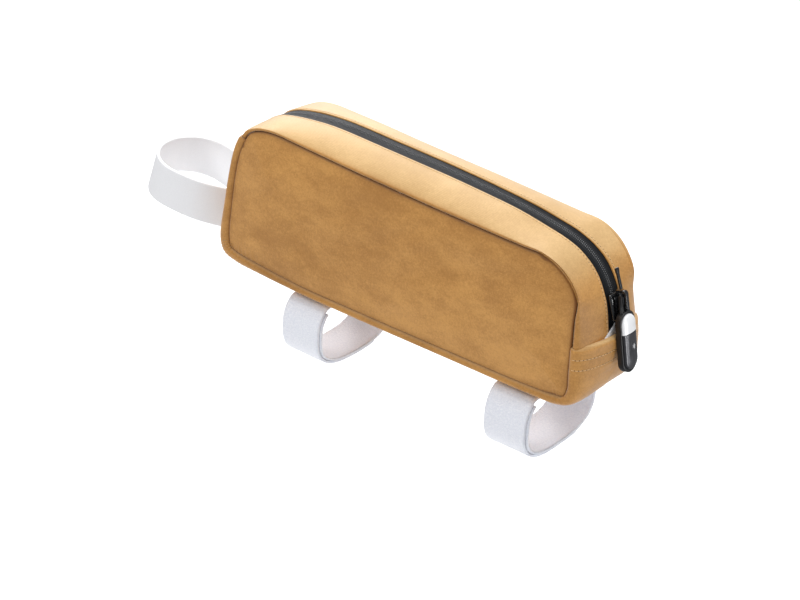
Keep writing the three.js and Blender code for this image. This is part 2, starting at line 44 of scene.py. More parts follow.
def freshStart():
    # nothing selected and object mode, before a new primitive
    if bpy.context.object and bpy.context.object.mode != "OBJECT":
        bpy.ops.object.mode_set(mode="OBJECT")
    bpy.ops.object.select_all(action="DESELECT")


def pick(obj):
    freshStart()
    obj.select_set(True)
    bpy.context.view_layer.objects.active = obj


def applyAll(obj):
    pick(obj)
    for modifier in list(obj.modifiers):
        bpy.ops.object.modifier_apply(modifier=modifier.name)


def smooth(obj, degrees=40):
    pick(obj)
    bpy.ops.object.shade_smooth_by_angle(angle=math.radians(degrees))


def wear(obj, material, body="bag", hides=()):
    obj.data.materials.clear()
    obj.data.materials.append(material)
    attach(obj, body)
    if hides:
        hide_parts(*hides)


def ease(low, high, x):
    t = np.clip((x - low) / (high - low), 0, 1)
    return t * t * (3 - 2 * t)


def clothGrid(name, points, across, edge=None, thick=1.0):
    # a grid primitive whose points are laid where the cloth lies; points is
    # rows x columns x 3 in mm, across the same in mm along the weave
    rows, cols = points.shape[:2]
    freshStart()
    bpy.ops.mesh.primitive_grid_add(x_subdivisions=cols - 1, y_subdivisions=rows - 1, size=1)
    obj = bpy.context.object
    obj.name = obj.data.name = name
    mesh = obj.data
    co = np.empty(len(mesh.vertices) * 3)
    mesh.vertices.foreach_get("co", co)
    co = co.reshape(-1, 3)
    i = np.rint((co[:, 1] + 0.5) * (rows - 1)).astype(int)
    j = np.rint((co[:, 0] + 0.5) * (cols - 1)).astype(int)
    mesh.vertices.foreach_set("co", (points[i, j] * mm).ravel())
    loops = np.empty(len(mesh.loops), dtype=np.int32)
    mesh.loops.foreach_get("vertex_index", loops)
    while mesh.uv_layers:
        mesh.uv_layers.remove(mesh.uv_layers[0])
    weave = mesh.uv_layers.new(name="weave")
    weave.data.foreach_set("uv", (across[i, j] * 0.01)[loops].ravel())
    # this distance in mm, stored as seam, is what the finishes paint their groove and edge shade by
    if edge is not None:
        near = mesh.attributes.new("seam", "FLOAT", "POINT")
        near.data.foreach_set("value", edge[i, j].astype(np.float32))
    mesh.update()
    faceOut(obj, points)
    if thick:
        wall = obj.modifiers.new("wall", "SOLIDIFY")
        wall.thickness = thick * mm
        wall.offset = -1
        wall.use_quality_normals = False
        applyAll(obj)
    pick(obj)
    bpy.ops.object.shade_smooth()
    return obj


def closeUp(obj, doubles=0.0):
    # joins points closer than doubles, in metres, and turns every face outwards
    pick(obj)
    bpy.ops.object.mode_set(mode="EDIT")
    bpy.ops.mesh.select_all(action="SELECT")
    if doubles:
        bpy.ops.mesh.remove_doubles(threshold=doubles)
    bpy.ops.mesh.normals_make_consistent(inside=False)
    bpy.ops.object.mode_set(mode="OBJECT")
    bpy.ops.object.shade_smooth()


def smoothBetween(p0, p1, p2, p3, w):
    # a smooth line through four points, read a share w of the way from p1 to p2
    d0, d1, d2 = (np.sqrt(np.linalg.norm(b - a, axis=-1))[..., None]
                  for a, b in ((p0, p1), (p1, p2), (p2, p3)))
    t1 = ((p1 - p0) / d0 - (p2 - p0) / (d0 + d1) + (p2 - p1) / d1) * d1
    t2 = ((p2 - p1) / d1 - (p3 - p1) / (d1 + d2) + (p3 - p2) / d2) * d1
    return p1 + t1 * w + (3 * (p2 - p1) - 2 * t1 - t2) * w ** 2 + (2 * (p1 - p2) + t1 + t2) * w ** 3


def faceOut(obj, points):
    # turns the sheet over where its faces look at the middle of the bag
    mesh = obj.data
    face = mesh.polygons[len(mesh.polygons) // 2 + points.shape[1] // 2]
    middle = Vector((face.center.x * 0.6, 0, 45 * mm))
    if face.normal.dot(face.center - middle) < 0:
        mesh.flip_normals()


# A socket's value, on which sums are written
class Wire:
    def __init__(self, finish, socket):
        self.finish, self.socket = finish, socket

    def sums(self, kind, first, second):
        return self.finish.add("Math", {"operation": kind}, {0: first, 1: second})

    def __add__(self, other):
        return self.sums("ADD", self, other)

    def __radd__(self, other):
        return self.sums("ADD", other, self)

    def __sub__(self, other):
        return self.sums("SUBTRACT", self, other)

    def __rsub__(self, other):
        return self.sums("SUBTRACT", other, self)

    def __mul__(self, other):
        return self.sums("MULTIPLY", self, other)

    def __rmul__(self, other):
        return self.sums("MULTIPLY", other, self)


class Finish:
    def __init__(self, name):
        self.material = bpy.data.materials.new(name)
        self.material.use_nodes = True
        self.tree = self.material.node_tree
        self.shader = self.tree.nodes["Principled BSDF"]

    def add(self, kind, settings=None, sockets=None, out=0):
        node = self.tree.nodes.new("ShaderNode" + kind)
        for key, value in (settings or {}).items():
            if key == "stops":
                ramp = node.color_ramp
                while len(ramp.elements) < len(value):
                    ramp.elements.new(0.5)
                for stop, (place, colour) in zip(ramp.elements, value):
                    stop.position = place
                    stop.color = (*colour, 1) if hasattr(colour, "__len__") else (colour,) * 3 + (1,)
            else:
                setattr(node, key, value)
        for key, value in (sockets or {}).items():
            self.feed(node.inputs[key], value)
        return Wire(self, node.outputs[out])

    def feed(self, socket, value):
        if isinstance(value, Wire):
            self.tree.links.new(value.socket, socket)
        elif hasattr(value, "__len__") and len(value) == 3 and socket.type == "RGBA":
            socket.default_value = (*value, 1)
        else:
            socket.default_value = value

    def blend(self, share, first, second, kind="MIX"):
        return self.add("Mix", {"data_type": "RGBA", "blend_type": kind},
                        {0: share, 6: first, 7: second}, 2)

    def between(self, low, high, value):
        return self.add("MapRange", {"interpolation_type": "SMOOTHSTEP"}, {"Value": value, 1: low, 2: high})

    def noise(self, place, scale, detail=2.0, rough=0.5, stretch=None):
        if stretch:
            place = self.add("Mapping", {}, {"Vector": place, "Rotation": stretch[0], "Scale": stretch[1]})
        return self.add("TexNoise", {},
                        {"Vector": place, "Scale": scale, "Detail": detail, "Roughness": rough})

    def dress(self, **values):
        for key, value in values.items():
            self.feed(self.shader.inputs[sockets[key]], value)
        return self.material


sockets = {
    "colour": "Base Color", "rough": "Roughness", "metal": "Metallic", "bump": "Normal",
    "coat": "Coat Weight", "coatRough": "Coat Roughness", "sheen": "Sheen Weight",
    "sheenRough": "Sheen Roughness", "sheenTint": "Sheen Tint", "gloss": "Specular IOR Level",
    "glow": "Emission Color", "glowPower": "Emission Strength",
}

# The view

view = {
    "azimuth": 37.81, "elevation": 28.16, "roll": 2.95, "distance": 1.06128,
    "aim": (-0.01306, 0.0, 0.00351), "lens": 90.0, "floor": -0.40,
}


def setCamera():
    az, el, roll = (math.radians(view[k]) for k in ("azimuth", "elevation", "roll"))
    back = Vector((math.sin(az) * math.cos(el), -math.cos(az) * math.cos(el), math.sin(el)))
    right = Vector((math.cos(az), math.sin(az), 0))
    up = back.cross(right)
    x = right * math.cos(roll) + up * math.sin(roll)
    y = up * math.cos(roll) - right * math.sin(roll)
    camera = bpy.data.objects.new("camera", bpy.data.cameras.new("camera"))
    bpy.context.scene.collection.objects.link(camera)
    camera.matrix_world = Matrix.Translation(Vector(view["aim"]) + back * view["distance"]) @ Matrix(
        (x, y, back)).transposed().to_4x4()
    camera.data.lens = view["lens"]
    camera.data.sensor_width = 36.0
    camera.data.clip_start = 0.01
    bpy.context.scene.camera = camera


setCamera()
print("camera set")

# The studio: a pale floor far below, four wide soft lamps and a strip
lights = {
    "key": {"at": (-0.95, -1.25, 1.25), "size": 1.0, "power": 13.2, "colour": (1.0, 0.985, 0.96)},
    "top": {"at": (0.06, 0.22, 1.70), "size": 1.5, "power": 29.0, "colour": (1.0, 1.0, 1.0)},
    "back": {"at": (-1.12, 1.20, 0.70), "size": 0.9, "power": 20.0, "colour": (1.0, 1.0, 1.0)},
    "fill": {"at": (1.6, -0.35, 0.85), "size": 0.9, "power": 6.0, "colour": (0.97, 0.985, 1.0)},
    # tall, and it only shows in glossy things
    "strip": {"at": (0.69, 0.20, -0.06), "size": 0.20, "tall": 0.42, "power": 2.0,
              "colour": (1.0, 1.0, 1.0)},
}
studio = {
    "sky": (0.93, 0.96, 1.0), "skyPower": 0.30, "lampsFace": (0, 0, 0.02),
    "floorWide": 14, "floorGlow": 0.18, "floorDark": (0.93, 0.93, 0.93), "floorLight": (0.95, 0.95, 0.95),
}


def setStudio():
    world = bpy.context.scene.world or bpy.data.worlds.new("studio")
    bpy.context.scene.world = world
    world.use_nodes = True
    sky = world.node_tree.nodes["Background"]
    sky.inputs["Color"].default_value = (*studio["sky"], 1)
    sky.inputs["Strength"].default_value = studio["skyPower"]
    bpy.context.scene.view_settings.view_transform = "Standard"
    for name, light in lights.items():
        lamp = bpy.data.objects.new(name + "Light", bpy.data.lights.new(name + "Light", "AREA"))
        bpy.context.scene.collection.objects.link(lamp)
        lamp.location = light["at"]
        ahead = Vector(studio["lampsFace"]) - lamp.location
        lamp.rotation_euler = ahead.to_track_quat("-Z", "Y").to_euler()
        lamp.data.shape = "ELLIPSE"
        lamp.data.size = light["size"]
        lamp.data.size_y = light.get("tall", light["size"])
        lamp.visible_diffuse = "tall" not in light
        lamp.data.energy = light["power"]
        lamp.data.color = light["colour"]
        lamp.visible_camera = False
    freshStart()
    bpy.ops.mesh.primitive_plane_add(size=studio["floorWide"], location=(0, 0, view["floor"]))
    floor = bpy.context.object
    floor.name = "paleFloor"
    paint = Finish("pale floor")
    place = paint.add("TexCoord", {}, {}, "Object")
    grain = paint.noise(place, 3.0)
    floor.data.materials.append(paint.dress(
        colour=paint.blend(grain, studio["floorDark"], studio["floorLight"]), rough=0.9,
        glow=(1.0, 1.0, 1.0), glowPower=studio["floorGlow"]))
    floor.visible_glossy = False


setStudio()
print("studio set")

# The pouch's outline

pouch = {
    "halfLength": 120.8, "height": 92.0, "halfSeam": 26.5,
    "zipHalf": 5.45,       # from the middle to the folded edge of each top strip
    "bead": 1.9,           # roll of the strips where they turn into the seam
    "beadOut": 0.7,        # how far that roll stands out sideways
    "sideBulge": 3.3, "dent": 1.1,
    "cloth": 1.0,
    "lipStand": 3.4, "lipFold": 1.25, "hem": 11.5, "lipRows": (4.6, 10.2), "ramp": (0.114, 0.372),
}

# clockwise from the front top corner: the side seam's x and z, the middle of the
# strip's x and z, as shares of halfLength and height, then flat and turn
outline = np.array([
    (-0.838, 0.842, -0.882, 0.832, 4.0, 0.50), (-0.813, 0.885, -0.858, 0.883, 3.0, 0.55),
    (-0.762, 0.917, -0.799, 0.935, 2.6, 0.60), (-0.679, 0.934, -0.704, 0.971, 2.4, 0.66),
    (-0.497, 0.921, -0.497, 0.999, 2.2, 0.66), (-0.166, 0.891, -0.166, 0.982, 2.2, 0.66),
    (0.166, 0.867, 0.166, 0.959, 2.2, 0.66), (0.497, 0.849, 0.497, 0.920, 2.3, 0.66),
    (0.662, 0.842, 0.654, 0.887, 2.4, 0.66), (0.762, 0.839, 0.753, 0.859, 2.6, 0.60),
    (0.836, 0.807, 0.836, 0.813, 3.0, 0.55), (0.898, 0.746, 0.902, 0.746, 3.0, 0.50),
    (0.939, 0.658, 0.955, 0.641, 3.0, 0.50), (0.936, 0.543, 0.980, 0.536, 3.0, 0.50),
    (0.937, 0.372, 0.998, 0.372, 3.0, 0.50), (0.939, 0.217, 1.002, 0.217, 3.5, 0.50),
    (0.940, 0.125, 0.992, 0.114, 5.0, 0.50), (0.922, 0.072, 0.954, 0.039, 7.0, 0.50),
    (0.873, 0.057, 0.890, 0.004, 8.0, 0.50), (0.745, 0.045, 0.762, 0.000, 9.0, 0.50),
    (0.331, 0.040, 0.331, 0.000, 9.0, 0.50), (-0.166, 0.039, -0.166, 0.000, 9.0, 0.50),
    (-0.497, 0.043, -0.497, 0.000, 9.0, 0.50), (-0.745, 0.067, -0.762, 0.004, 9.0, 0.50),
    (-0.877, 0.087, -0.902, 0.017, 9.0, 0.50), (-0.924, 0.115, -0.974, 0.048, 9.0, 0.50),
    (-0.934, 0.174, -1.000, 0.130, 9.0, 0.50), (-0.921, 0.391, -0.970, 0.370, 9.0, 0.50),
    (-0.891, 0.652, -0.924, 0.652, 8.0, 0.50), (-0.866, 0.766, -0.901, 0.772, 6.0, 0.50),
])
stations = len(outline)
halfWide = pouch["halfSeam"] + pouch["beadOut"]
turnLong = 640.0           # mm once round the side seam
browAt, lipAt = 0.0, 14 / stations


def loopLine(columns):
    # a closed smooth line through the stations, read at shares of a turn
    line = outline[:, columns] * (pouch["halfLength"], pouch["height"])

    def at(u):
        place = np.mod(np.asarray(u, float), 1) * stations
        k = np.floor(place).astype(int) % stations
        w = (place - np.floor(place))[..., None]
        return smoothBetween(*(line[(k + s) % stations] for s in (-1, 0, 1, 2)), w)
    return at


seamLine, middleLine = loopLine([0, 1]), loopLine([2, 3])


def outward(line, u):
    along = line(u + 1e-4) - line(u - 1e-4)
    along /= np.linalg.norm(along, axis=-1, keepdims=True)
    return np.stack([-along[..., 1], along[..., 0]], -1)


def blended(column, u):
    place = np.mod(np.asarray(u, float), 1) * stations
    k = np.floor(place).astype(int) % stations
    w = place - np.floor(place)
    return outline[k, column] * (1 - w) + outline[(k + 1) % stations, column] * w


def mmPerTurn(u):
    return np.linalg.norm(middleLine(u + 1e-4) - middleLine(u - 1e-4), axis=-1) / 2e-4


def stripAt(u, v, lift, stand):
    # a point of the strip round the pouch: u round the outline, v across it from
    # -1 to 1; past 1 it rolls into the seam, a quarter turn for each 1
    bead = pouch["bead"]
    share = np.minimum(np.abs(v), 1)
    roll = np.clip(np.abs(v) - 1, 0, None) * math.pi / 2
    out = outward(seamLine, u)
    edge = seamLine(u) + out * bead
    middle = middleLine(u) + outward(middleLine, u) * (stand * (1 - share ** 2) + lift)[..., None]
    rise = np.power(1 - share ** blended(4, u), blended(5, u))[..., None]
    flat = edge + (middle - edge) * rise - out * (bead * np.sin(roll))[..., None]
    y = np.sign(v) * (halfWide * share - 1.1 * bead * (1 - np.cos(roll)))
    return leanIn(np.stack([flat[..., 0], y, flat[..., 1]], -1))


# the soft bag leans in on its far side, most at its rear top corner
farSide = {
    "from": 6.0, "top": 3.0, "low": 8.0, "high": 72.0,
    "corner": 4.5, "cornerX": 112.0, "cornerZ": 60.0, "reachX": 32.0, "reachZ": 24.0,
}


def leanIn(points):
    f = farSide
    x, y, z = points[..., 0], points[..., 1], points[..., 2]
    pinch = np.exp(-((x - f["cornerX"]) / f["reachX"]) ** 2 - ((z - f["cornerZ"]) / f["reachZ"]) ** 2)
    moved = f["top"] * ease(f["low"], f["high"], z) + f["corner"] * pinch
    share = ease(f["from"], pouch["halfSeam"], y)
    return points - np.stack([np.zeros_like(x), moved * share, np.zeros_like(x)], -1)


def normalsOf(points):
    down, along = np.gradient(points, axis=0), np.gradient(points, axis=1)
    n = np.cross(down, along)
    n /= np.maximum(np.linalg.norm(n, axis=-1, keepdims=True), 1e-9)
    middle = np.array([0.6, 0, 1]) * points * np.array([1, 0, 0]) + np.array([0, 0, 45])
    if ((points - middle) * n).sum() < 0:
        n = -n
    return n


def lengthAlong(points, axis):
    step = np.linalg.norm(np.diff(points, axis=axis), axis=-1)
    pad = [(0, 0), (0, 0)]
    pad[axis] = (1, 0)
    return np.cumsum(np.pad(step, pad), axis=axis)


def laidOut(points):
    # how far each place lies along and across the cloth, in mm
    return np.stack([lengthAlong(points, 0), lengthAlong(points, 1)], -1)


def softNoise(points, scale, seed=0.0, octaves=1):
    flat = points.reshape(-1, 3) / scale + seed
    total = np.zeros(len(flat))
    for octave in range(octaves):
        total += [noise.noise(Vector(p * 2 ** octave)) * 0.5 ** octave for p in flat]
    return total.reshape(points.shape[:-1])


# Finishes

canvasLook = {
    # the darkest colour on the next line is painted shade, laid in and beside the seam grooves
    "light": (0.630, 0.318, 0.086), "deep": (0.410, 0.188, 0.044), "grooveShade": (0.200, 0.075, 0.016),
    # the paler pair below is painted sheen for cloth that faces upwards
    "paintedSheen": (0.640, 0.420, 0.192), "paintedSheenDeep": (0.510, 0.318, 0.132),
    "thread": 0.52,        # mm between threads of the weave
}


def canvasFinish(name):
    paint = Finish(name)
    place = paint.add("TexCoord", {}, {}, "Object")
    weave = paint.add("UVMap", {"uv_map": "weave"}, {})
    seam = paint.add("Attribute", {"attribute_name": "seam"}, {}, "Fac")
    clouds = paint.noise(place, 52.0, 4.0, 0.6, ((0, 0.6, 0), (1.0, 1.0, 1.9)))
    broad = paint.noise(place, 17.0, 2.0, 0.5)
    grain = paint.noise(place, 850.0, 4.0, 0.75)
    fleck = paint.noise(weave, 90.0, 2.0, 0.6, ((0, 0, 0), (1.0, 7.0, 1.0)))
    thread = 100.0 / canvasLook["thread"] / 2
    warp = paint.add("TexWave", {"bands_direction": "X", "wave_profile": "SIN"},
                     {"Vector": weave, "Scale": thread / math.pi, "Distortion": 0.6, "Detail": 1.0})
    weft = paint.add("TexWave", {"bands_direction": "Y", "wave_profile": "SIN"},
                     {"Vector": weave, "Scale": thread / math.pi, "Distortion": 0.6, "Detail": 1.0})
    tone = clouds * 0.32 + broad * 0.20 + grain * 0.34 + fleck * 0.14
    body = paint.blend(paint.between(0.37, 0.63, tone), canvasLook["deep"], canvasLook["light"])
    # painted sheen: where the cloth faces upwards it is painted paler and less saturated, standing in for
    # the veil of light the top catches
    facing = paint.add("SeparateXYZ", {}, {0: paint.add("NewGeometry", {}, {}, "Normal")}, "Z")
    pale = paint.blend(paint.between(0.37, 0.63, tone), canvasLook["paintedSheenDeep"], canvasLook["paintedSheen"])
    body = paint.blend(paint.between(0.40, 0.97, facing), body, pale)
    # painted shade: the canvas is darkened in the seam groove and over the roll beside it, by distance from
    # the seam
    grooveShadeMask = (1 - paint.between(0.1, 1.4, seam)) * 0.62 + (1 - paint.between(0.5, 4.6, seam)) * 0.22
    colour = paint.blend(grooveShadeMask, body, canvasLook["grooveShade"])
    height = warp * weft * 0.5 + grain * 0.5
    bump = paint.add("Bump", {}, {"Strength": 0.5, "Distance": 0.00016, "Height": height})
    return paint.dress(colour=colour, rough=0.50 + 0.12 * grain, bump=bump, sheen=0.60,
                       sheenRough=0.32, sheenTint=(1.0, 0.98, 0.94), gloss=0.28)


zipLook = {
    "rib": 1.0,            # mm from rib to rib, where the tape lies over the coil
    # the third colour on the next line is painted highlight on the rib crests over the coil
    "dark": (0.010, 0.011, 0.012), "light": (0.019, 0.020, 0.022), "ribHighlight": (0.040, 0.041, 0.044),
    # the next colour is painted shadow along the tape's outer edges, where it meets the canvas
    "edge": (0.004, 0.004, 0.005),
}


def tapeFinish():
    paint = Finish("laminated zip tape")
    place = paint.add("TexCoord", {}, {}, "Object")
    weave = paint.add("UVMap", {"uv_map": "weave"}, {})
    grain = paint.noise(place, 1800.0, 2.0, 0.6)
    middle = paint.add("Attribute", {"attribute_name": "seam"}, {}, "Fac")
    ribs = paint.add("TexWave", {"bands_direction": "X", "wave_profile": "SIN"},
                     {"Vector": weave, "Scale": 10 * math.pi / zipLook["rib"], "Distortion": 0.3})
    overCoil = 1 - paint.between(2.2, 3.0, middle)
    # painted shadow: the tape is darkened along its outer edge
    edge = paint.between(4.2, 5.1, middle)
    flat = paint.blend(grain, zipLook["dark"], zipLook["light"])
    # painted highlight: rib crests over the coil are coloured lighter
    ribbed = paint.blend(ribs * overCoil * 0.75, flat, zipLook["ribHighlight"])
    colour = paint.blend(edge, ribbed, zipLook["edge"])
    bump = paint.add("Bump", {}, {"Strength": 0.8, "Distance": 0.00018,
                                  "Height": ribs * overCoil * 0.7 + grain * 0.3})
    return paint.dress(colour=colour, rough=0.48 + 0.1 * grain, bump=bump, gloss=0.04)


def plasticFinish(name, dark, light, rough, coat=0.0, metal=0.0, grainSize=900.0, depth=0.00003, gloss=0.5):
    paint = Finish(name)
    place = paint.add("TexCoord", {}, {}, "Object")
    fine = paint.noise(place, grainSize, 3.0, 0.55)
    broad = paint.noise(place, 70.0, 2.0, 0.5)
    bump = paint.add("Bump", {}, {"Strength": 0.3, "Distance": depth, "Height": fine})
    return paint.dress(colour=paint.blend(broad, dark, light), rough=rough + 0.1 * fine, bump=bump,
                       coat=coat, coatRough=0.06, metal=metal, gloss=gloss)


def loopFinish():
    # brushed hook-and-loop: matted fibres over a knitted ground
    paint = Finish("white brushed loop")
    place = paint.add("TexCoord", {}, {}, "Object")
    weave = paint.add("UVMap", {"uv_map": "weave"}, {})
    fibre = paint.noise(place, 900.0, 4.0, 0.7)
    curl = paint.noise(weave, 75.0, 4.0, 0.75, ((0, 0, 0.3), (1.0, 2.2, 1.0)))
    tufts = paint.add("TexVoronoi", {"feature": "F1"}, {"Vector": weave, "Scale": 95.0, "Randomness": 1.0})
    height = fibre * 0.5 + curl * 0.9 + tufts * 0.35
    shade = paint.between(0.35, 0.75, curl * 0.6 + fibre * 0.4)
    colour = paint.blend(shade, (0.74, 0.76, 0.84), (0.95, 0.955, 0.99))
    bump = paint.add("Bump", {}, {"Strength": 0.85, "Distance": 0.00035, "Height": height})
    return paint.dress(colour=colour, rough=0.92, bump=bump, sheen=0.6, sheenRough=0.6, gloss=0.2)


def satinFinish():
    paint = Finish("white satin strap")
    place = paint.add("TexCoord", {}, {}, "Object")
    weave = paint.add("UVMap", {"uv_map": "weave"}, {})
    lines = paint.add("TexWave", {"bands_direction": "X", "wave_profile": "SIN"},
                      {"Vector": weave, "Scale": 100.0 / 0.6 / 2 / math.pi, "Distortion": 0.3})
    fine = paint.noise(place, 1500.0, 2.0, 0.5)
    colour = paint.blend(fine, (0.80, 0.80, 0.82), (0.88, 0.88, 0.90))
    bump = paint.add("Bump", {}, {"Strength": 0.18, "Distance": 0.0001, "Height": lines * 0.5 + fine * 0.5})
    return paint.dress(colour=colour, rough=0.38 + 0.1 * fine, bump=bump, sheen=0.2, sheenRough=0.4)


def threadFinish(name, dark, light):
    paint = Finish(name)
    place = paint.add("TexCoord", {}, {}, "Object")
    twist = paint.noise(place, 3000.0, 2.0, 0.6)
    bump = paint.add("Bump", {}, {"Strength": 0.4, "Distance": 0.00006, "Height": twist})
    return paint.dress(colour=paint.blend(twist, dark, light), rough=0.6, bump=bump, sheen=0.2)


canvas = canvasFinish("tan waxed canvas")
tape = tapeFinish()
coilBlack = plasticFinish("coil black", (0.120, 0.122, 0.128), (0.170, 0.172, 0.178), 0.35, gloss=0.4)
sliderBlack = plasticFinish("slider gloss black", (0.006, 0.006, 0.007), (0.011, 0.011, 0.012), 0.16,
                            coat=0.6)
rubberBlack = plasticFinish("moulded black rubber", (0.006, 0.006, 0.007), (0.010, 0.010, 0.011), 0.30,
                            grainSize=1600.0, depth=0.00002, gloss=0.45)
insertWhite = plasticFinish("gloss white insert", (0.96, 0.96, 0.965), (0.98, 0.98, 0.985), 0.20, coat=0.6,
                            grainSize=400.0, depth=0.00001, gloss=0.7)
insertGrey = plasticFinish("metallic grey insert", (0.034, 0.034, 0.039), (0.048, 0.048, 0.054), 0.30,
                           coat=0.5, metal=0.5, grainSize=400.0, depth=0.00001)
loopWhite = loopFinish()
satinWhite = satinFinish()
tanThread = threadFinish("tan thread", (0.66, 0.42, 0.17), (0.80, 0.56, 0.28))
# the needle holes' dark brown is painted shade
holeShade = threadFinish("needle hole shade", (0.10, 0.04, 0.012), (0.14, 0.06, 0.02))
tabWhite = threadFinish("white tab cloth", (0.80, 0.80, 0.82), (0.90, 0.90, 0.91))
print("finishes made")

# Side panels

# soft dents and swellings: side, x and z shares, reach, depth
dents = [
    (-1, -0.60, 0.62, 0.30, 0.5), (-1, -0.42, 0.36, 0.26, -0.8), (-1, -0.12, 0.60, 0.32, -0.6),
    (-1, 0.14, 0.34, 0.28, 0.6), (-1, 0.38, 0.58, 0.26, -0.9), (-1, 0.72, 0.40, 0.30, 0.7),
    (1, -0.50, 0.40, 0.30, -0.7), (1, -0.10, 0.62, 0.28, 0.6), (1, 0.22, 0.36, 0.32, -0.8),
    (1, 0.64, 0.56, 0.28, 0.5),
]
sidePanel = {
    "columns": 300, "rows": 130, "foldAngle": 34.0, "foldLong": 62.0, "foldWide": 15.0,
    "foldHeight": 0.85, "pucker": 0.20, "puckerStep": 5.2, "puckerLong": 3.6,
    "rim": 0.12, "edgeLow": -1.4, "edgeRise": 1.6, "edgeWide": 1.5, "pillowWide": 40, "pillowCurve": 2.6,
    "spreadX": 0.55, "spreadZ": 0.8,    # how much closer the grid's lines stand at its ends
    "samples": 1600, "batch": 4000,
}
# where the seam is drawn in: share of a turn, reach in mm, strength
gathers = [(0.03, 9, 1.0), (0.84, 14, 1.5), (0.79, 26, 0.8), (0.585, 9, 0.7)]


def fromPlace(u, place):
    # mm round the seam between two shares of a turn
    return np.abs(np.mod(u - place + 0.5, 1) - 0.5) * turnLong


def humps(u, places, least=0.0):
    total = np.full(np.shape(u), least)
    for place, reach, height in places:
        total = total + height * np.exp(-(fromPlace(u, place) / reach) ** 2)
    return total


def gatherAt(u):
    return humps(u, gathers, 0.12)


# where the painted shade along the groove reaches furthest: share of a turn, reach and depth in mm
grooveShadePockets = [(0.981, 4.0, 1.3), (0.305, 6.0, 0.8), (0.405, 10.0, 0.7), (0.50, 30.0, 0.4), (0.60, 9.0, 0.8)]
# the four places on the outline that a side panel's grid corners take
corners = [0.030, 11.2 / stations, 17.3 / stations, 25.0 / stations]


def seamNear(places):
    # how far each place lies from the side seam, and where on the seam that is
    u = np.arange(sidePanel["samples"]) / sidePanel["samples"]
    line = seamLine(u)
    flat, batch = places.reshape(-1, 2), sidePanel["batch"]
    away, turn = np.empty(len(flat)), np.empty(len(flat))
    for k in range(0, len(flat), batch):
        gaps = np.linalg.norm(flat[k:k + batch, None] - line[None], axis=-1)
        near = gaps.argmin(1)
        away[k:k + batch] = gaps[np.arange(len(near)), near]
        turn[k:k + batch] = u[near]
    return away.reshape(places.shape[:2]), turn.reshape(places.shape[:2])


def spaced(count, pull):
    # places from 0 to 1, closer together at both ends
    t = np.linspace(0, 1, count)
    return t - pull * np.sin(2 * math.pi * t) / (2 * math.pi)


def makeSide(side):
    name = "sideClothLeft" if side < 0 else "sideClothRight"
    c, form = corners, sidePanel
    s, t = spaced(form["columns"], form["spreadX"]), spaced(form["rows"], form["spreadZ"])

    def rim(u):
        return seamLine(u) - outward(seamLine, u) * form["rim"]
    top = rim(c[0] + (c[1] - c[0]) * s)
    bottom = rim(c[3] + (c[2] - c[3]) * s)
    rear = rim(c[1] + (c[2] - c[1]) * (1 - t))
    front = rim(c[0] - (c[0] + 1 - c[3]) * (1 - t))
    sS, tT = s[None, :, None], t[:, None, None]
    plane = ((1 - tT) * bottom[None] + tT * top[None] + (1 - sS) * front[:, None] + sS * rear[:, None]
             - (1 - sS) * (1 - tT) * bottom[0] - sS * (1 - tT) * bottom[-1]
             - (1 - sS) * tT * top[0] - sS * tT * top[-1])
    away, place = seamNear(plane)
    x, z = plane[..., 0], plane[..., 1]
    pillow = 1 - np.clip(1 - away / form["pillowWide"], 0, 1) ** form["pillowCurve"]
    edge = np.clip(away / form["edgeWide"], 0, 1)
    lift = form["edgeLow"] + form["edgeRise"] * np.sqrt(1 - (1 - edge) ** 2) + pouch["sideBulge"] * pillow
    for dentSide, dx, dz, reach, depth in dents:
        if dentSide == side:
            gap = np.hypot(x - dx * pouch["halfLength"], z - dz * pouch["height"])
            gap = gap / (reach * pouch["height"])
            lift = lift + depth * pouch["dent"] * np.exp(-2 * gap ** 2) * ease(2, 22, away)
    a = math.radians(form["foldAngle"])
    along, cross = x * math.cos(a) + z * math.sin(a), -x * math.sin(a) + z * math.cos(a)
    folds = softNoise(np.stack([along / form["foldLong"], cross / form["foldWide"],
                                np.full_like(x, side * 3.7)], -1), 1.0, 4.2, 2)
    lift = lift + form["foldHeight"] * folds * ease(3, 20, away)
    turn = place * turnLong
    ripple = np.sin(2 * math.pi * (turn + 1.3 * np.sin(turn / 9.0)) / form["puckerStep"])
    pull = form["pucker"] * gatherAt(place) * ripple
    lift = lift + pull * ease(0.3, 1.6, away) * np.exp(-away / form["puckerLong"])
    y = side * (pouch["halfSeam"] + lift)
    points = leanIn(np.stack([x, y, z], -1))
    # the seam distance, drawn in at the pockets, sets where the painted groove shade falls
    obj = clothGrid(name, points, np.stack([x, z], -1), away - humps(place, grooveShadePockets), pouch["cloth"])
    slot = "side_panel_left" if side < 0 else "side_panel_right"
    wear(obj, canvas, hides=(slot,))
    return obj


# Strips round the pouch

strips = {
    "rowsPerStation": 18, "across": 26, "rollRows": 5, "rollTo": 1.85,
    "fold": 0.75, "foldDown": 1.5,      # the folded edge beside the zip
    "crossDip": 0.3, "crossReach": 0.7,    # the cross seam at the front top edge
    "pucker": 0.16, "puckerStep": 5.6, "waves": 0.30, "waveLong": 34.0, "waveWide": 26.0,
    "hemStand": 0.15, "rowDip": 0.28, "rowReach": 0.7,
    "lipDrops": (2.5, 5.0, 7.5, 10.0), "lipNarrow": 0.07,
}


def acrossPlaces(first):
    # from the zip's side to the seam, closer together where the strip rolls down
    t = np.linspace(0, 1, strips["across"])
    v = first + (1 - first) * np.sin(t * math.pi / 2)
    return np.concatenate([v, np.linspace(1, strips["rollTo"], strips["rollRows"] + 1)[1:]])


def seamDistance(v):
    # roughly how far a place across the strip lies from the seam, in mm
    left = 1 - np.abs(v)
    flat = left * pouch["halfSeam"] + 2.6 + 3.0 * np.sqrt(np.clip(left, 0, 1))
    return np.where(np.abs(v) <= 1, flat, (strips["rollTo"] - np.abs(v)) * 3.0)


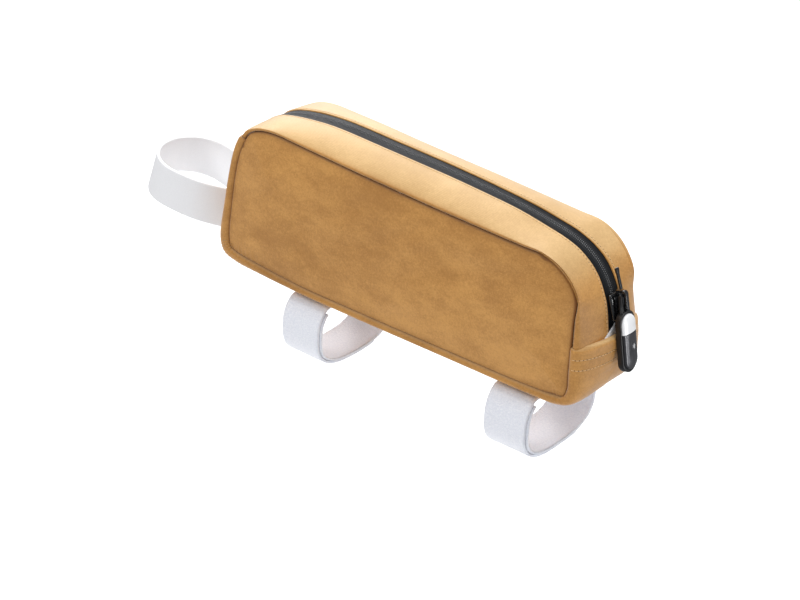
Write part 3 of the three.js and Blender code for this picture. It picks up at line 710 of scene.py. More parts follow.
def stripWrinkles(points, u, v):
    # soft waves, and the gathers that run in from the seam
    n = normalsOf(points)
    away = seamDistance(v)
    turn = u * turnLong
    ripple = np.sin(2 * math.pi * (turn + 1.5 * np.sin(turn / 8.0 + 1.0)) / strips["puckerStep"])
    side = np.where(v < 0, 0.0, 2.4)
    ripple = np.where(v < 0, ripple, np.roll(ripple, 3, axis=0))
    pull = gatherAt(u) * ripple * np.exp(-away / 4.5) * ease(0.2, 1.8, away) * strips["pucker"]
    places = np.stack([turn / strips["waveLong"], points[..., 1] / strips["waveWide"], side], -1)
    waves = softNoise(places, 1.0, 7.1, 2) * strips["waves"]
    lift = (pull + waves * ease(1.0, 8.0, away)) * ease(0.5, 9.0, fromPlace(u, browAt))
    return points + n * lift[..., None]


def crossSeam(u):
    # how far both cloths dip to the cross seam at the front top edge
    away = (u - browAt) * mmPerTurn(u)
    return strips["crossDip"] * np.exp(-(away / strips["crossReach"]) ** 2)


def makeTopStrip(side):
    name = "topStripClothLeft" if side < 0 else "topStripClothRight"
    first = pouch["zipHalf"] / halfWide
    rows = int(strips["rowsPerStation"] * 14) + 1
    startGap = 0.1 / mmPerTurn(np.array(0.002))
    u1 = np.linspace(browAt + startGap, lipAt - 0.0002, rows)
    v1 = acrossPlaces(first)
    u, v = np.meshgrid(u1, v1, indexing="ij")
    zero = np.zeros_like(u)
    points = stripAt(u, side * v, zero, zero)
    points = stripWrinkles(points, u, side * v)
    down = outward(middleLine, u)
    points = points - np.stack([down[..., 0], zero, down[..., 1]], -1) * crossSeam(u)[..., None]
    # folded edge beside the zip
    out = outward(middleLine, u1)

    def lowered(drop):
        row = points[:, 0] + 0
        row[:, 0] -= out[:, 0] * drop
        row[:, 2] -= out[:, 1] * drop
        return row
    fold = [lowered(strips["foldDown"])]
    for angle in (80, 60, 40, 20):
        a = math.radians(angle)
        row = lowered(strips["fold"] * (1 - math.cos(a)))
        row[:, 1] = side * (pouch["zipHalf"] + strips["fold"] - strips["fold"] * math.sin(a))
        fold.append(row)
    keep = np.abs(points[:, :, 1]).min(0) > pouch["zipHalf"] + strips["fold"] + 0.15
    firstKept = int(np.argmax(keep))
    points = np.concatenate([np.stack(fold, 1), points[:, firstKept:]], 1)
    vAll = np.concatenate([np.full(len(fold), v1[0]), v1[firstKept:]])
    edge = np.broadcast_to(seamDistance(vAll)[None], points.shape[:2])
    brow = np.broadcast_to(((u1 - browAt) * mmPerTurn(u1))[:, None], points.shape[:2])
    # the painted groove shade also runs along the cross seam at the brow
    obj = clothGrid(name, points, laidOut(points), np.minimum(edge, brow + 0.8), pouch["cloth"])
    slot = "top_strip_left" if side < 0 else "top_strip_right"
    wear(obj, canvas, hides=(slot,))
    return obj


def rampAt(points):
    # 0 at the pouch's rear foot, 1 at the lip's edge
    low, high = (share * pouch["height"] for share in pouch["ramp"])
    return np.where(points[..., 0] > 0, ease(low, high, points[..., 2]), 0)


def makeBase():
    rows = int(strips["rowsPerStation"] * 16) + 1
    u1 = np.linspace(lipAt, 1 + browAt - 0.1 / mmPerTurn(np.array(0.998)), rows)
    v1 = acrossPlaces(0.0)
    v1 = np.concatenate([-v1[:0:-1], v1])
    u, v = np.meshgrid(u1, v1, indexing="ij")
    zero = np.zeros_like(u)
    ramp = rampAt(stripAt(u, v, zero, zero))
    points = stripAt(u, v, zero, pouch["lipStand"] * ramp)
    points = stripWrinkles(points, u, v)
    down = outward(middleLine, u)
    # the hem stands a little proud, down to its inner stitch row
    belowLip = (u - lipAt) * mmPerTurn(u)
    away = seamDistance(v)
    above = 1 - ease(pouch["hem"] - 0.8, pouch["hem"] + 0.8, belowLip)
    hem = strips["hemStand"] * above * ease(0.0, 4.0, away)
    for row in pouch["lipRows"]:
        dip = strips["rowDip"] * np.exp(-((belowLip - row) / strips["rowReach"]) ** 2)
        hem = hem - dip * ease(0.5, 3.0, away)
    hem = hem - crossSeam(u - 1)
    points = points + np.stack([down[..., 0], zero, down[..., 1]], -1) * hem[..., None]
    # the lip's folded edge: over the top and down inside
    radius = pouch["lipFold"]
    top, up = points[0] + 0, points[0] - points[1]
    up /= np.linalg.norm(up, axis=-1, keepdims=True)
    out2 = outward(middleLine, np.array([lipAt]))[0]
    out = np.array([out2[0], 0, out2[1]])
    fold = []
    for angle in (20, 45, 70, 95, 120, 150, 180):
        a = math.radians(angle)
        fold.append(top + up * radius * math.sin(a) - out * radius * (1 - math.cos(a)))
    for drop in strips["lipDrops"]:
        fold.append(fold[6] - up * drop)
    # the folded layer keeps clear of the side seams
    for layer in fold:
        layer[:, 1] *= 1 - strips["lipNarrow"] * np.clip((np.abs(layer[:, 1]) - 15) / 10, 0, 1)
    points = np.concatenate([np.stack(fold[::-1]), points])
    laid = laidOut(points)
    edge = np.broadcast_to(seamDistance(v1)[None], points.shape[:2])
    toBrow = laid[-1:, :, 0] - laid[..., 0]
    # the painted groove shade also runs along the cross seam at the brow
    obj = clothGrid("baseCloth", points, laid, np.minimum(edge, toBrow + 0.8), pouch["cloth"])
    wear(obj, canvas, hides=("base_gusset",))
    return obj


baseCloth = makeBase()
sideClothLeft, sideClothRight = makeSide(-1), makeSide(1)
topStripClothLeft, topStripClothRight = makeTopStrip(-1), makeTopStrip(1)
print("canvas sewn")

# Stitching

stitching = {
    "step": 2.0, "long": 1.3, "thread": 0.17, "hole": 0.30, "holeDeep": 0.12, "fromZip": 1.7,
    "lipReach": 1.12,      # how far the lip's rows run, past 1 into the seams
    # share of a stitch, and how far the thread lies above the cloth there in mm
    "dip": ((0.0, -0.40), (0.08, 0.02), (0.30, 0.10), (0.75, 0.10), (1.0, 0.02), (1.08, -0.40)),
}


def onCloth(cloth, points, outs):
    # the places on a cloth's outer face next to points just off it, in mm, with the
    # cloth's normals there
    found, normals = points + 0, outs + 0
    for k, (point, out) in enumerate(zip(points, outs)):
        hit, place, normal, _ = cloth.closest_point_on_mesh(Vector((point + out * 1.2) * mm))
        if hit:
            found[k], normals[k] = np.array(place) / mm, np.array(normal)
    return found, normals


def copies(name, shape, polygons, centres, axes):
    # one mesh of many copies of a small shape, each turned by its own axes
    points = np.einsum("vi,kij->kvj", shape, axes) + centres[:, None]
    count = len(shape)
    faces = [[k * count + i for i in face] for k in range(len(centres)) for face in polygons]
    mesh = bpy.data.meshes.new(name)
    mesh.from_pydata([tuple(p) for p in (points.reshape(-1, 3) * mm)], [], faces)
    obj = bpy.data.objects.new(name, mesh)
    bpy.context.scene.collection.objects.link(obj)
    closeUp(obj)
    return obj


def bead(size, segments=8, rings=6):
    # the points and faces of a small ball squashed to a size in mm
    freshStart()
    bpy.ops.mesh.primitive_uv_sphere_add(segments=segments, ring_count=rings, radius=0.5,
                                         location=(0, 0, 0))
    ball = bpy.context.object
    bpy.ops.object.mode_set(mode="EDIT")
    bpy.ops.mesh.select_all(action="SELECT")
    bpy.ops.transform.resize(value=size)
    bpy.ops.object.mode_set(mode="OBJECT")
    shape = np.array([v.co[:] for v in ball.data.vertices])
    polygons = [list(face.vertices) for face in ball.data.polygons]
    bpy.data.objects.remove(ball)
    return shape, polygons


def threadRow(name, path, outs, cloth, slot):
    # one thread that dips in and out of the cloth along a path in mm, and dark beads at its holes as painted
    # shade where the thread goes under
    path, outs = onCloth(cloth, path, outs)
    gap = np.linalg.norm(np.diff(path, axis=0), axis=-1)
    far = np.concatenate([[0], np.cumsum(gap)])
    count = max(int(far[-1] // stitching["step"]), 2)
    step = far[-1] / count
    places = [k * step + share * stitching["long"] for k in range(count) for share, _ in stitching["dip"]]
    heights = np.array([height for _ in range(count) for _, height in stitching["dip"]])

    def along(where, line):
        return np.stack([np.interp(where, far, line[:, a]) for a in range(3)], -1)
    points = (along(places, path) + along(places, outs) * heights[:, None]) * mm
    curve = bpy.data.curves.new(name, "CURVE")
    curve.dimensions = "3D"
    curve.bevel_depth = stitching["thread"] * mm
    curve.bevel_resolution = 1
    curve.use_fill_caps = True
    spline = curve.splines.new("POLY")
    spline.points.add(len(points) - 1)
    spline.points.foreach_set("co", np.concatenate([points, np.ones((len(points), 1))], 1).ravel())
    obj = bpy.data.objects.new(name, curve)
    bpy.context.scene.collection.objects.link(obj)
    pick(obj)
    bpy.ops.object.convert(target="MESH")
    obj = bpy.context.object
    obj.data.name = name
    bpy.ops.object.shade_smooth()
    wear(obj, tanThread)
    # painted shade: a small dark bead lies in each gap between stitches, where the thread goes under the
    # cloth
    between = (np.arange(count - 1) + 1) * step - (step - stitching["long"]) / 2
    centres, up = along(between, path), along(between, outs)
    ahead = along(between + 0.05, path) - along(between - 0.05, path)
    ahead /= np.linalg.norm(ahead, axis=-1, keepdims=True)
    axes = np.stack([ahead, np.cross(up, ahead), up], 1)
    hole = bead((step - stitching["long"], 2 * stitching["hole"], stitching["holeDeep"]), 6, 4)
    holes = copies(name + "Holes", *hole, centres, axes)
    wear(holes, holeShade)


def surfaceRow(u, v, stand=None):
    zero = np.zeros_like(u)
    points = stripAt(u, v, zero, zero if stand is None else stand)
    out = outward(middleLine, u)
    return points, np.stack([out[:, 0], zero, out[:, 1]], -1)


def stitchAll():
    u = np.linspace(0.006, lipAt - 0.001, 500)
    for side, name, cloth in ((-1, "Left", topStripClothLeft), (1, "Right", topStripClothRight)):
        v = side * (pouch["zipHalf"] + stitching["fromZip"]) / halfWide
        path, outs = surfaceRow(u, np.full_like(u, v))
        threadRow("zipStitches" + name, path, outs, cloth, "top_strip_" + name.lower())
    for row, name in zip(pouch["lipRows"], ("Upper", "Lower")):
        v = stitching["lipReach"] * np.sin(np.linspace(-1, 1, 200) * math.pi / 2)
        u = np.full_like(v, lipAt + row / float(mmPerTurn(np.array(lipAt))))
        zero = np.zeros_like(v)
        ramp = rampAt(stripAt(u, v, zero, zero))
        path, outs = surfaceRow(u, v, pouch["lipStand"] * ramp)
        turned = np.radians(80) * np.clip((np.abs(v) - 0.9) / 0.1, 0, 1)[:, None]
        outs = outs * np.cos(turned) + np.sin(turned) * np.sign(v)[:, None] * np.array([[0.0, 1.0, 0.0]])
        threadRow("lipStitches" + name, path, outs, baseCloth, "base_gusset")


stitchAll()
print("stitching sewn")

# Zip

zipParts = {
    "tapeOut": 5.3, "tapeIn": 0.95, "recess": 0.6, "ridge": 0.06, "tape": 0.5, "tuck": 7.0,
    "start": 0.0006,       # share of a turn past the cross seam
    "ridgeAt": 1.5, "ridgeWide": 0.75, "cordHalf": 1.15, "cordSink": 1.12, "cord": 0.4,
    "toothStep": 1.0, "tooth": (0.62, 0.92, 0.7), "toothOut": 0.60, "coilSink": 0.62,
}


def bandPoints(y, heights, rows):
    # a band along the zip, at places across it in mm
    end = lipAt + zipParts["tuck"] / float(mmPerTurn(np.array(lipAt)))
    u, v = np.meshgrid(np.linspace(browAt + zipParts["start"], end, rows), y / halfWide, indexing="ij")
    return stripAt(u, v, np.broadcast_to(heights, u.shape), np.zeros_like(u))


def makeTapes():
    for side, name in ((-1, "zipTapeClothLeft"), (1, "zipTapeClothRight")):
        y = np.array([zipParts["tapeOut"], 4.6, 3.9, 3.2, 2.6, 2.1, 1.7, 1.35, 1.1, 1.0,
                      zipParts["tapeIn"]])
        ridge = zipParts["ridge"] * np.exp(-((y - zipParts["ridgeAt"]) / zipParts["ridgeWide"]) ** 2)
        heights = -zipParts["recess"] + ridge - 0.15 * (y < 1.05)
        points = bandPoints(side * y, heights[None], 420)
        waves = softNoise(points, 30.0, 3.0) * 0.07
        points = points + normalsOf(points) * waves[..., None]
        obj = clothGrid(name, points, laidOut(points), np.broadcast_to(y[None], points.shape[:2]),
                        zipParts["tape"])
        slot = "zip_tape_left" if side < 0 else "zip_tape_right"
        wear(obj, tape, hides=(slot,))


def makeCoil():
    # one tooth, shaped once and then copied down both sides of the zip's middle
    u = np.linspace(browAt + 0.001, lipAt - 0.001, 3000)
    line = middleLine(u) - outward(middleLine, u) * zipParts["coilSink"]
    far = np.concatenate([[0], np.cumsum(np.linalg.norm(np.diff(line, axis=0), axis=-1))])
    count = int(far[-1] // zipParts["toothStep"])
    centres, axes = [], []
    for k in range(count):
        for side in (-1, 1):
            at = (k + 0.5 + 0.25 * side) * far[-1] / count
            out = outward(middleLine, np.array([np.interp(at, far, u)]))[0]
            x, z = (np.interp(at, far, line[:, a]) for a in range(2))
            centres.append((x, side * zipParts["toothOut"], z))
            axes.append(((out[1], 0, -out[0]), (0, 1, 0), (out[0], 0, out[1])))
    obj = copies("zipTeeth", *bead(zipParts["tooth"]), np.array(centres), np.array(axes))
    wear(obj, coilBlack, hides=("zip_coil",))
    # the woven cord under the teeth closes the slit between the tapes
    y = np.linspace(-zipParts["cordHalf"], zipParts["cordHalf"], 5)
    points = bandPoints(y, np.full((1, 5), -zipParts["cordSink"]), 300)
    cord = clothGrid("zipCord", points, laidOut(points), None, zipParts["cord"])
    wear(cord, tape)


# the tab's half width, its rise above the lip and its slopes on either side, in mm
tab = {
    "half": 12.5, "foot": 0.1, "rise": 8.0, "nearFrom": 13.0, "nearLong": 15.0, "farLong": 6.0,
    "tuck": 3.0, "lift": 1.15, "sag": 0.25, "cloth": 0.7,
}


def makeTab():
    y = np.linspace(-tab["half"], tab["half"], 40)
    slopes = np.minimum((y + tab["nearFrom"]) / tab["nearLong"], (tab["half"] - y) / tab["farLong"])
    rise = tab["foot"] + tab["rise"] * np.clip(slopes, 0, 1)
    perMm = 1 / float(mmPerTurn(np.array(lipAt)))
    yy, tt = np.meshgrid(y, np.linspace(-0.8, 1, 10), indexing="ij")
    u = lipAt - perMm * (np.where(tt < 0, tt * tab["tuck"], rise[:, None] * tt))
    lift = tab["lift"] - tab["sag"] * tt ** 2
    points = stripAt(u, yy / halfWide, lift, np.zeros_like(u))
    obj = clothGrid("zipEndTab", points, np.stack([yy, tt * 4], -1), None, tab["cloth"])
    wear(obj, tabWhite, hides=("zip_end_tab",))


makeTapes()
makeCoil()
makeTab()
print("zip made")

# Straps round the tube

tubeStrap = {
    "width": 25.4, "thick": 1.5, "layerGap": 0.4, "tubeWidth": 57.0, "tubeHeight": 35.5,
    "square": 2.8, "top": -2.1, "from": 308.0, "to": -205.0, "overlap": (-50.0, -26.0),
    "frontX": -54.0, "rearX": 82.39, "slip": 1.5,
}


def tubeAt(angle, offset):
    w, h, n = tubeStrap["tubeWidth"] / 2, tubeStrap["tubeHeight"] / 2, tubeStrap["square"]
    a = np.radians(angle)
    y = np.sign(np.sin(a)) * w * np.abs(np.sin(a)) ** (2 / n)
    z = np.sign(np.cos(a)) * h * np.abs(np.cos(a)) ** (2 / n)
    ny = np.sign(y) * np.abs(y / w) ** (n - 1) / w
    nz = np.sign(z) * np.abs(z / h) ** (n - 1) / h
    size = np.hypot(ny, nz)
    return y + offset * ny / size, tubeStrap["top"] - h + z + offset * nz / size


def makeTubeStrap(name, x, slot):
    # one spiral band; its outer turn has slipped a little towards the front
    steps, wide = 300, 17
    angle = np.linspace(tubeStrap["from"], tubeStrap["to"], steps)
    climb = 1 - ease(tubeStrap["overlap"][0], tubeStrap["overlap"][1], angle)
    t = np.linspace(-1, 1, wide)
    t = np.sign(t) * np.abs(t) ** 0.6
    aa, tt = np.meshgrid(angle, t, indexing="ij")
    cc = np.broadcast_to(climb[:, None], aa.shape)
    round_ = 0.30 * np.clip((np.abs(tt) - 0.93) / 0.07, 0, 1) ** 2
    offset = 0.3 + tubeStrap["thick"] + cc * (tubeStrap["thick"] + tubeStrap["layerGap"]) - round_
    y, z = tubeAt(aa, offset)
    x1 = x + tt * tubeStrap["width"] / 2 - tubeStrap["slip"] * cc * 0.6
    points = np.stack([x1, y, z], -1)
    waves = softNoise(points, 9.0, 1.0, 2) * 0.16
    middle = np.stack([np.zeros_like(y), y, z - (tubeStrap["top"] - tubeStrap["tubeHeight"] / 2)], -1)
    middle /= np.linalg.norm(middle, axis=-1, keepdims=True)
    under = ease(-2.6, -5.0, z)
    points = points + middle * (waves * under)[..., None]
    length = lengthAlong(points, 0)
    obj = clothGrid(name, points, np.stack([x1, length], -1), None, 0)
    if obj.data.polygons[0].normal.dot(obj.data.polygons[0].center - Vector((x * mm, 0, -20 * mm))) < 0:
        obj.data.flip_normals()
    wall = obj.modifiers.new("wall", "SOLIDIFY")
    wall.thickness = 1.35 * mm
    wall.offset = -1
    applyAll(obj)
    bpy.ops.object.shade_smooth()
    wear(obj, loopWhite, hides=(slot,))


makeTubeStrap("frontLoopStrap", tubeStrap["frontX"], "front_strap")
makeTubeStrap("rearLoopStrap", tubeStrap["rearX"], "rear_strap")
print("tube straps made")

# Steerer strap

steererStrap = {
    "width": 25.4, "thick": 1.9, "radius": 23.2, "reach": 45.0, "root": 6.5, "height": 21.0,
    "rise": 8.3, "lean": 17.7, "faceX": -120.171, "frontLean": 6.451,
}


def steererPlan():
    s = steererStrap
    rootX = s["faceX"] - 0.3
    ringX = rootX - s["reach"]
    points = [(rootX, -s["root"] * 0.5), (rootX - 0.6, -s["root"]),
              (rootX - 0.22 * s["reach"], -0.55 * s["radius"]),
              (rootX - 0.55 * s["reach"], -0.86 * s["radius"])]
    points += [(ringX - s["radius"] * math.sin(k * math.pi / 10), -s["radius"] * math.cos(k * math.pi / 10))
               for k in range(6)]
    points += [(px, -py) for px, py in points[-2::-1]]
    return np.array(points)


def closedLine(points, count):
    # evenly spaced places on a closed smooth line, with their tangents
    n = len(points)
    t = np.arange(count * 20) / (count * 20) * n
    k = np.floor(t).astype(int)
    w = (t - k)[:, None]
    line = smoothBetween(*(points[(k + s) % n] for s in (-1, 0, 1, 2)), w)
    ring = np.vstack([line, line[:1]])
    far = np.concatenate([[0], np.cumsum(np.linalg.norm(np.diff(ring, axis=0), axis=-1))])
    want = np.arange(count) / count * far[-1]
    even = np.stack([np.interp(want, far, ring[:, a]) for a in range(2)], -1)
    along = np.roll(even, -1, 0) - np.roll(even, 1, 0)
    return even, along / np.linalg.norm(along, axis=-1, keepdims=True), far[-1]


def makeSteererStrap():
    s = steererStrap
    count = 260
    even, along, total = closedLine(steererPlan(), count)
    # the section is a rounded band: outside up, over the edge, inside down
    half, thick, edge = s["width"] / 2, s["thick"], 0.8
    section = []
    for up in np.linspace(-1, 1, 15):
        section.append((0.0, up * (half - edge)))
    for angle in (25, 50, 75, 90, 105, 130, 155):
        a = math.radians(angle)
        section.append((thick / 2 * (1 - math.cos(a)), half - edge + edge * math.sin(a)))
    for up in np.linspace(1, -1, 15):
        section.append((thick, up * (half - edge)))
    for angle in (155, 130, 105, 90, 75, 50, 25):
        a = math.radians(angle)
        section.append((thick / 2 * (1 - math.cos(a)), -(half - edge) - edge * math.sin(a)))
    section = np.array(section)
    grid = np.empty((count + 1, len(section) + 1, 3))
    uv = np.empty((count + 1, len(section) + 1, 2))
    for i in range(count + 1):
        k = i % count
        for j in range(len(section) + 1):
            inward, up = section[j % len(section)]
            x = even[k, 0] + inward * along[k, 1]
            y = even[k, 1] - inward * along[k, 0]
            away = min(max((s["faceX"] - x) / s["reach"], 0), 1)
            lean = math.radians(s["frontLean"]) * (1 - away) + math.radians(s["lean"]) * away
            z = s["height"] + (s["faceX"] - x) * math.tan(math.radians(s["rise"])) + up * math.cos(lean)
            grid[i, j] = (x + up * math.sin(lean), y, z)
            uv[i, j] = (i / count * total, up)
    obj = clothGrid("satinSteererStrap", grid, uv, None, 0)
    closeUp(obj, doubles=0.004 * mm)
    wear(obj, satinWhite, hides=("steerer_strap",))


makeSteererStrap()
print("steerer strap made")

# Slider

slider = {
    "at": (118.248, 0.0, 49.910), "tilt": 12.902, "lift": 0.3, "long": 14.0, "wide": 11.0, "tip": 8.0,
    "wing": 2.0, "crown": 3.4, "crownIn": 1.6, "corner": 1.6,
    "bridgeWide": 2.4, "bridgeLow": -0.9, "bridgeTop": 8.5, "bridgeIn": 2.4, "bridgeOut": 8.3,
    "wall": 1.3,
    "tailAt": (5.0, 8.8), "tailLean": 21.0, "tailLong": 11.0, "tailWide": 1.8, "tailThick": 1.1,
    "flare": 1.35,
}


def block(name, low, high):
    # a cube between two corners in mm, in edit mode and selected all over
    freshStart()
    middle = [(a + b) / 2 * mm for a, b in zip(low, high)]
    bpy.ops.mesh.primitive_cube_add(size=1, location=(0, 0, 0))
    obj = bpy.context.object
    obj.name = obj.data.name = name
    bpy.ops.object.mode_set(mode="EDIT")
    bpy.ops.transform.resize(value=[(b - a) * mm for a, b in zip(low, high)])
    bpy.ops.transform.translate(value=middle)
    return obj


def choose(obj, test, kind="FACE"):
    # in edit mode, selects the faces, edges or points that pass a test in mm
    bpy.ops.object.mode_set(mode="OBJECT")
    mesh = obj.data
    for group in (mesh.vertices, mesh.edges, mesh.polygons):
        group.foreach_set("select", np.zeros(len(group), bool))
    if kind == "FACE":
        for face in mesh.polygons:
            face.select = bool(test(face.center / mm, face.normal))
    elif kind == "EDGE":
        for edge in mesh.edges:
            a, b = (mesh.vertices[i].co / mm for i in edge.vertices)
            edge.select = bool(test(a, b))
    else:
        for point in mesh.vertices:
            point.select = bool(test(point.co / mm))
    bpy.ops.object.mode_set(mode="EDIT")
    bpy.ops.mesh.select_mode(type={"FACE": "FACE", "EDGE": "EDGE"}.get(kind, "VERT"))


def bevel(width, segments=3):
    bpy.ops.mesh.bevel(offset=width * mm, offset_type="OFFSET", segments=segments, profile=0.5,
                       affect="EDGES", clamp_overlap=True)


def settle(obj, at, tilt):
    # turns a piece from its own upright frame to its place on the bag
    bpy.ops.object.mode_set(mode="OBJECT")
    pick(obj)
    obj.location = [v * mm for v in at]
    obj.rotation_euler = (0, -math.radians(tilt), 0)
    bpy.ops.object.transform_apply(location=True, rotation=True, scale=True)
    smooth(obj, 32)


def cut(obj, cutter, kind="DIFFERENCE"):
    bpy.ops.object.mode_set(mode="OBJECT")
    pick(obj)
    tool = obj.modifiers.new("cut", "BOOLEAN")
    tool.operation = kind
    tool.object = cutter
    tool.solver = "EXACT"
    applyAll(obj)
    bpy.data.objects.remove(cutter)


def makeSlider():
    s = slider
    low, high = s["lift"], s["lift"] + s["wing"]
    half, wing = s["long"] / 2, s["wide"] / 2
    body = block("sliderBody", (low, -wing, -half), (high, wing, half))
    choose(body, lambda p: p.z < 0, "POINT")
    bpy.ops.transform.resize(value=(1, s["tip"] / s["wide"], 1), center_override=(0, 0, 0))
    choose(body, lambda a, b: abs(a.y - b.y) < 0.01 and abs(a.z - b.z) < 0.01, "EDGE")
    bevel(s["corner"], 5)
    # the crown rises from the wings
    choose(body, lambda c, n: n.x > 0.9)
    bpy.ops.mesh.inset(thickness=s["crownIn"] * mm, depth=0.0)
    bpy.ops.mesh.extrude_region_move(TRANSFORM_OT_translate={"value": ((s["crown"] - high) * mm, 0, 0)})
    choose(body, lambda a, b: min(a.x, b.x) > s["crown"] - 0.02, "EDGE")
    bevel(0.4, 3)
    choose(body, lambda a, b: abs(a.x - high) + abs(b.x - high) < 0.02 and max(abs(a.y), abs(a.z)) > 0.5
           and onWing(a) and onWing(b), "EDGE")
    bevel(0.3, 3)
    settle(body, s["at"], s["tilt"])
    wear(body, sliderBlack, hides=("zip_slider",))
    # the bridge: an upright plate with a window for the puller's eye bar
    wide = s["bridgeWide"] / 2
    bridge = block("sliderBridge", (s["bridgeIn"], -wide, s["bridgeLow"]),
                   (s["bridgeOut"], wide, s["bridgeTop"]))
    choose(bridge, lambda a, b: abs(a.x - b.x) < 0.01 and abs(a.z - b.z) < 0.01
           and a.x > s["crown"], "EDGE")
    bevel(1.8, 6)
    window = block("bridgeWindow", (s["crown"] + 0.1, -4, s["bridgeLow"] + s["wall"]),
                   (s["bridgeOut"] - s["wall"], 4, s["bridgeTop"] - s["wall"]))
    choose(window, lambda a, b: abs(a.x - b.x) < 0.01 and abs(a.z - b.z) < 0.01, "EDGE")
    bevel(0.8, 4)
    cut(bridge, window)
    bpy.ops.object.mode_set(mode="EDIT")
    choose(bridge, lambda a, b: abs(a.y) > wide - 0.01 and abs(a.y - b.y) < 0.01
           and a.x > s["bridgeIn"] + 0.01, "EDGE")
    bevel(0.25, 3)
    settle(bridge, s["at"], s["tilt"])
    wear(bridge, sliderBlack)
    # the flared tab that stands up from the bridge
    wide, thick, long = s["tailWide"] / 2, s["tailThick"] / 2, s["tailLong"]
    tail = block("sliderTailTab", (-thick, -wide, 0), (thick, wide, long))
    bpy.ops.mesh.select_all(action="SELECT")
    bpy.ops.mesh.bisect(plane_co=(0, 0, long * 0.7 * mm), plane_no=(0, 0, 1))
    bpy.ops.mesh.select_all(action="SELECT")
    bpy.ops.mesh.bisect(plane_co=(0, 0, long * 0.88 * mm), plane_no=(0, 0, 1))
    for share, size in ((0.87, s["flare"]), (0.99, 1.0)):
        choose(tail, lambda p: p.z > long * share, "POINT")
        bpy.ops.transform.resize(value=(size ** 0.5, size, 1), center_override=(0, 0, 0))
    choose(tail, lambda a, b: abs(a.z - b.z) > 0.5 or min(a.z, b.z) > long - 0.01, "EDGE")
    bevel(0.3, 3)
    tilt = math.radians(s["tilt"])
    x, z = s["tailAt"]
    at = (s["at"][0] + x * math.cos(tilt) - z * math.sin(tilt), 0,
          s["at"][2] + x * math.sin(tilt) + z * math.cos(tilt))
    settle(tail, at, s["tailLean"])
    wear(tail, rubberBlack, hides=("slider_tail",))


def onWing(point):
    # true on the outer rim of the slider's wings
    reach = slider["wide"] / 2 + min(point.z, 0) * (slider["wide"] - slider["tip"]) / 2 / slider["long"]
    return abs(point.y) > reach - slider["crownIn"] * 0.6 or abs(point.z) > slider["long"] / 2 - 0.6


makeSlider()
print("slider made")

# Puller

puller = {
    "pivot": (122.5316, 0.0, 56.9641), "lean": 11.0, "wide": 12.6, "top": 7.9, "long": 39.9, "thick": 3.3,
    "back": 1.6, "neckWide": 5.4, "neckFlare": 1.35, "eyeBar": 1.5, "eyeHalf": 1.5, "border": 1.0,
    "endBorder": 1.7, "sink": 0.5, "play": 0.3, "edge": 0.7,
    "insertThick": 2.4, "insertEdge": 1.1, "split": 19.1, "dimple": 2.7, "dimpleAt": 26.4, "dimpleDeep": 0.6,
    # the insert's dome: step inwards and rise of each ring
    "dome": ((1.0, 0.27), (1.0, 0.16), (1.0, 0.09), (0.8, 0.03)),
}


def pill(name, wide, top, bottom, low, high):
    # a flat pill in the puller's upright frame: x outwards, z up to its pivot
    freshStart()
    bpy.ops.mesh.primitive_circle_add(
        vertices=72, radius=wide / 2 * mm, fill_type="NGON",
        rotation=(0, math.pi / 2, 0), location=(low * mm, 0, (-top - wide / 2) * mm))
    obj = bpy.context.object
    obj.name = obj.data.name = name
    bpy.ops.object.transform_apply(location=True, rotation=True, scale=True)
    choose(obj, lambda p: p.z < -top - wide / 2 - 0.01, "POINT")
    bpy.ops.transform.translate(value=(0, 0, -(bottom - top - wide) * mm))
    bpy.ops.mesh.select_all(action="SELECT")
    bpy.ops.mesh.extrude_region_move(TRANSFORM_OT_translate={"value": ((high - low) * mm, 0, 0)})
    bpy.ops.mesh.select_all(action="SELECT")
    bpy.ops.mesh.normals_make_consistent(inside=False)
    return obj


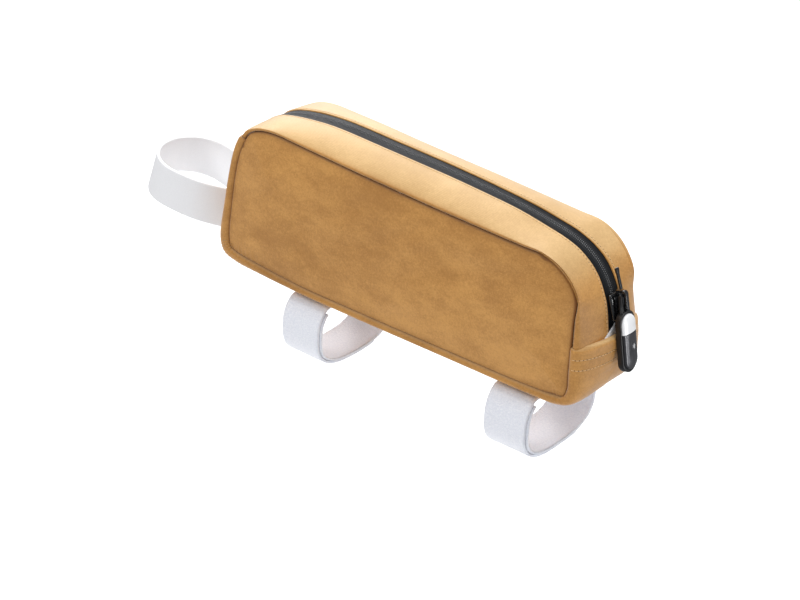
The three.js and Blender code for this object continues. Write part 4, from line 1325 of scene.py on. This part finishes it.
def makeFrame():
    q = puller
    front = q["thick"] - q["back"]
    body = pill("pullRubber", q["wide"], q["top"], q["long"], -q["back"], front)
    choose(body, lambda a, b: abs(a.x - b.x) < 0.01, "EDGE")
    bevel(q["edge"], 5)
    wide = q["wide"] - 2 * q["border"] + 2 * q["play"]
    hollow = pill("pullHollow", wide, q["top"] + q["endBorder"] - q["play"],
                  q["long"] - q["endBorder"] + q["play"], front - q["sink"] - q["play"], front + 3)
    cut(body, hollow)
    neckHalf, bar = q["neckWide"] / 2, q["eyeBar"] / 2
    neck = block("pullNeck", (-bar, -neckHalf, -q["top"] - 2), (bar, neckHalf, bar))
    choose(neck, lambda a, b: abs(a.x - b.x) > 1 and min(a.z, b.z) > 0, "EDGE")
    bevel(1.2, 6)
    choose(neck, lambda p: p.z < -q["top"], "POINT")
    bpy.ops.transform.resize(value=(1.5, q["neckFlare"], 1), center_override=(0, 0, 0))
    eye = block("pullEye", (-4, -q["eyeHalf"], -q["top"]), (4, q["eyeHalf"], -bar))
    choose(eye, lambda a, b: abs(a.x - b.x) > 1, "EDGE")
    bevel(0.5, 4)
    cut(neck, eye)
    bpy.ops.object.mode_set(mode="EDIT")
    choose(neck, lambda a, b: abs(a.x - b.x) < 0.3 and min(a.z, b.z) > -q["top"] - 0.5
           and abs(a.x) > bar * 0.9, "EDGE")
    bevel(0.25, 2)
    cut(body, neck, "UNION")
    settle(body, q["pivot"], q["lean"])
    wear(body, rubberBlack, "pull", hides=("pull_frame",))


def makeInsert(name, slotName, finish, upper):
    q = puller
    low = q["thick"] - q["back"] - q["sink"]
    top = low + q["insertThick"] - sum(rise for _, rise in q["dome"])
    insert = pill(name, q["wide"] - 2 * q["border"], q["top"] + q["endBorder"],
                  q["long"] - q["endBorder"], low, top)
    choose(insert, lambda a, b: min(a.x, b.x) > top - 0.01, "EDGE")
    bevel(q["insertEdge"], 6)
    choose(insert, lambda c, n: n.x > 0.999)
    for step, rise in q["dome"]:
        bpy.ops.mesh.inset(thickness=step * mm, depth=0.0)
        bpy.ops.transform.translate(value=(rise * mm, 0, 0))
    bpy.ops.mesh.select_all(action="SELECT")
    at = -q["split"] + (q["play"] / 2 if upper else -q["play"] / 2)
    bpy.ops.mesh.bisect(plane_co=(0, 0, at * mm), plane_no=(0, 0, 1), use_fill=True,
                        clear_outer=not upper, clear_inner=upper)
    bpy.ops.mesh.select_all(action="SELECT")
    bpy.ops.mesh.normals_make_consistent(inside=False)
    if not upper:
        # a plain round dimple
        freshStart()
        radius = (q["dimple"] ** 2 + q["dimpleDeep"] ** 2) / 2 / q["dimpleDeep"]
        bpy.ops.mesh.primitive_uv_sphere_add(segments=96, ring_count=48, radius=radius * mm, location=(
            (low + q["insertThick"] - q["dimpleDeep"] + radius) * mm, 0, -q["dimpleAt"] * mm))
        ball = bpy.context.object
        bpy.ops.object.transform_apply(location=True, rotation=True, scale=True)
        cut(insert, ball)
    settle(insert, q["pivot"], q["lean"])
    wear(insert, finish, "pull", hides=(slotName,))


makeFrame()
makeInsert("pullInsertWhite", "pull_insert_top", insertWhite, True)
makeInsert("pullInsertGrey", "pull_insert_base", insertGrey, False)
print("puller made")

print("scene made")
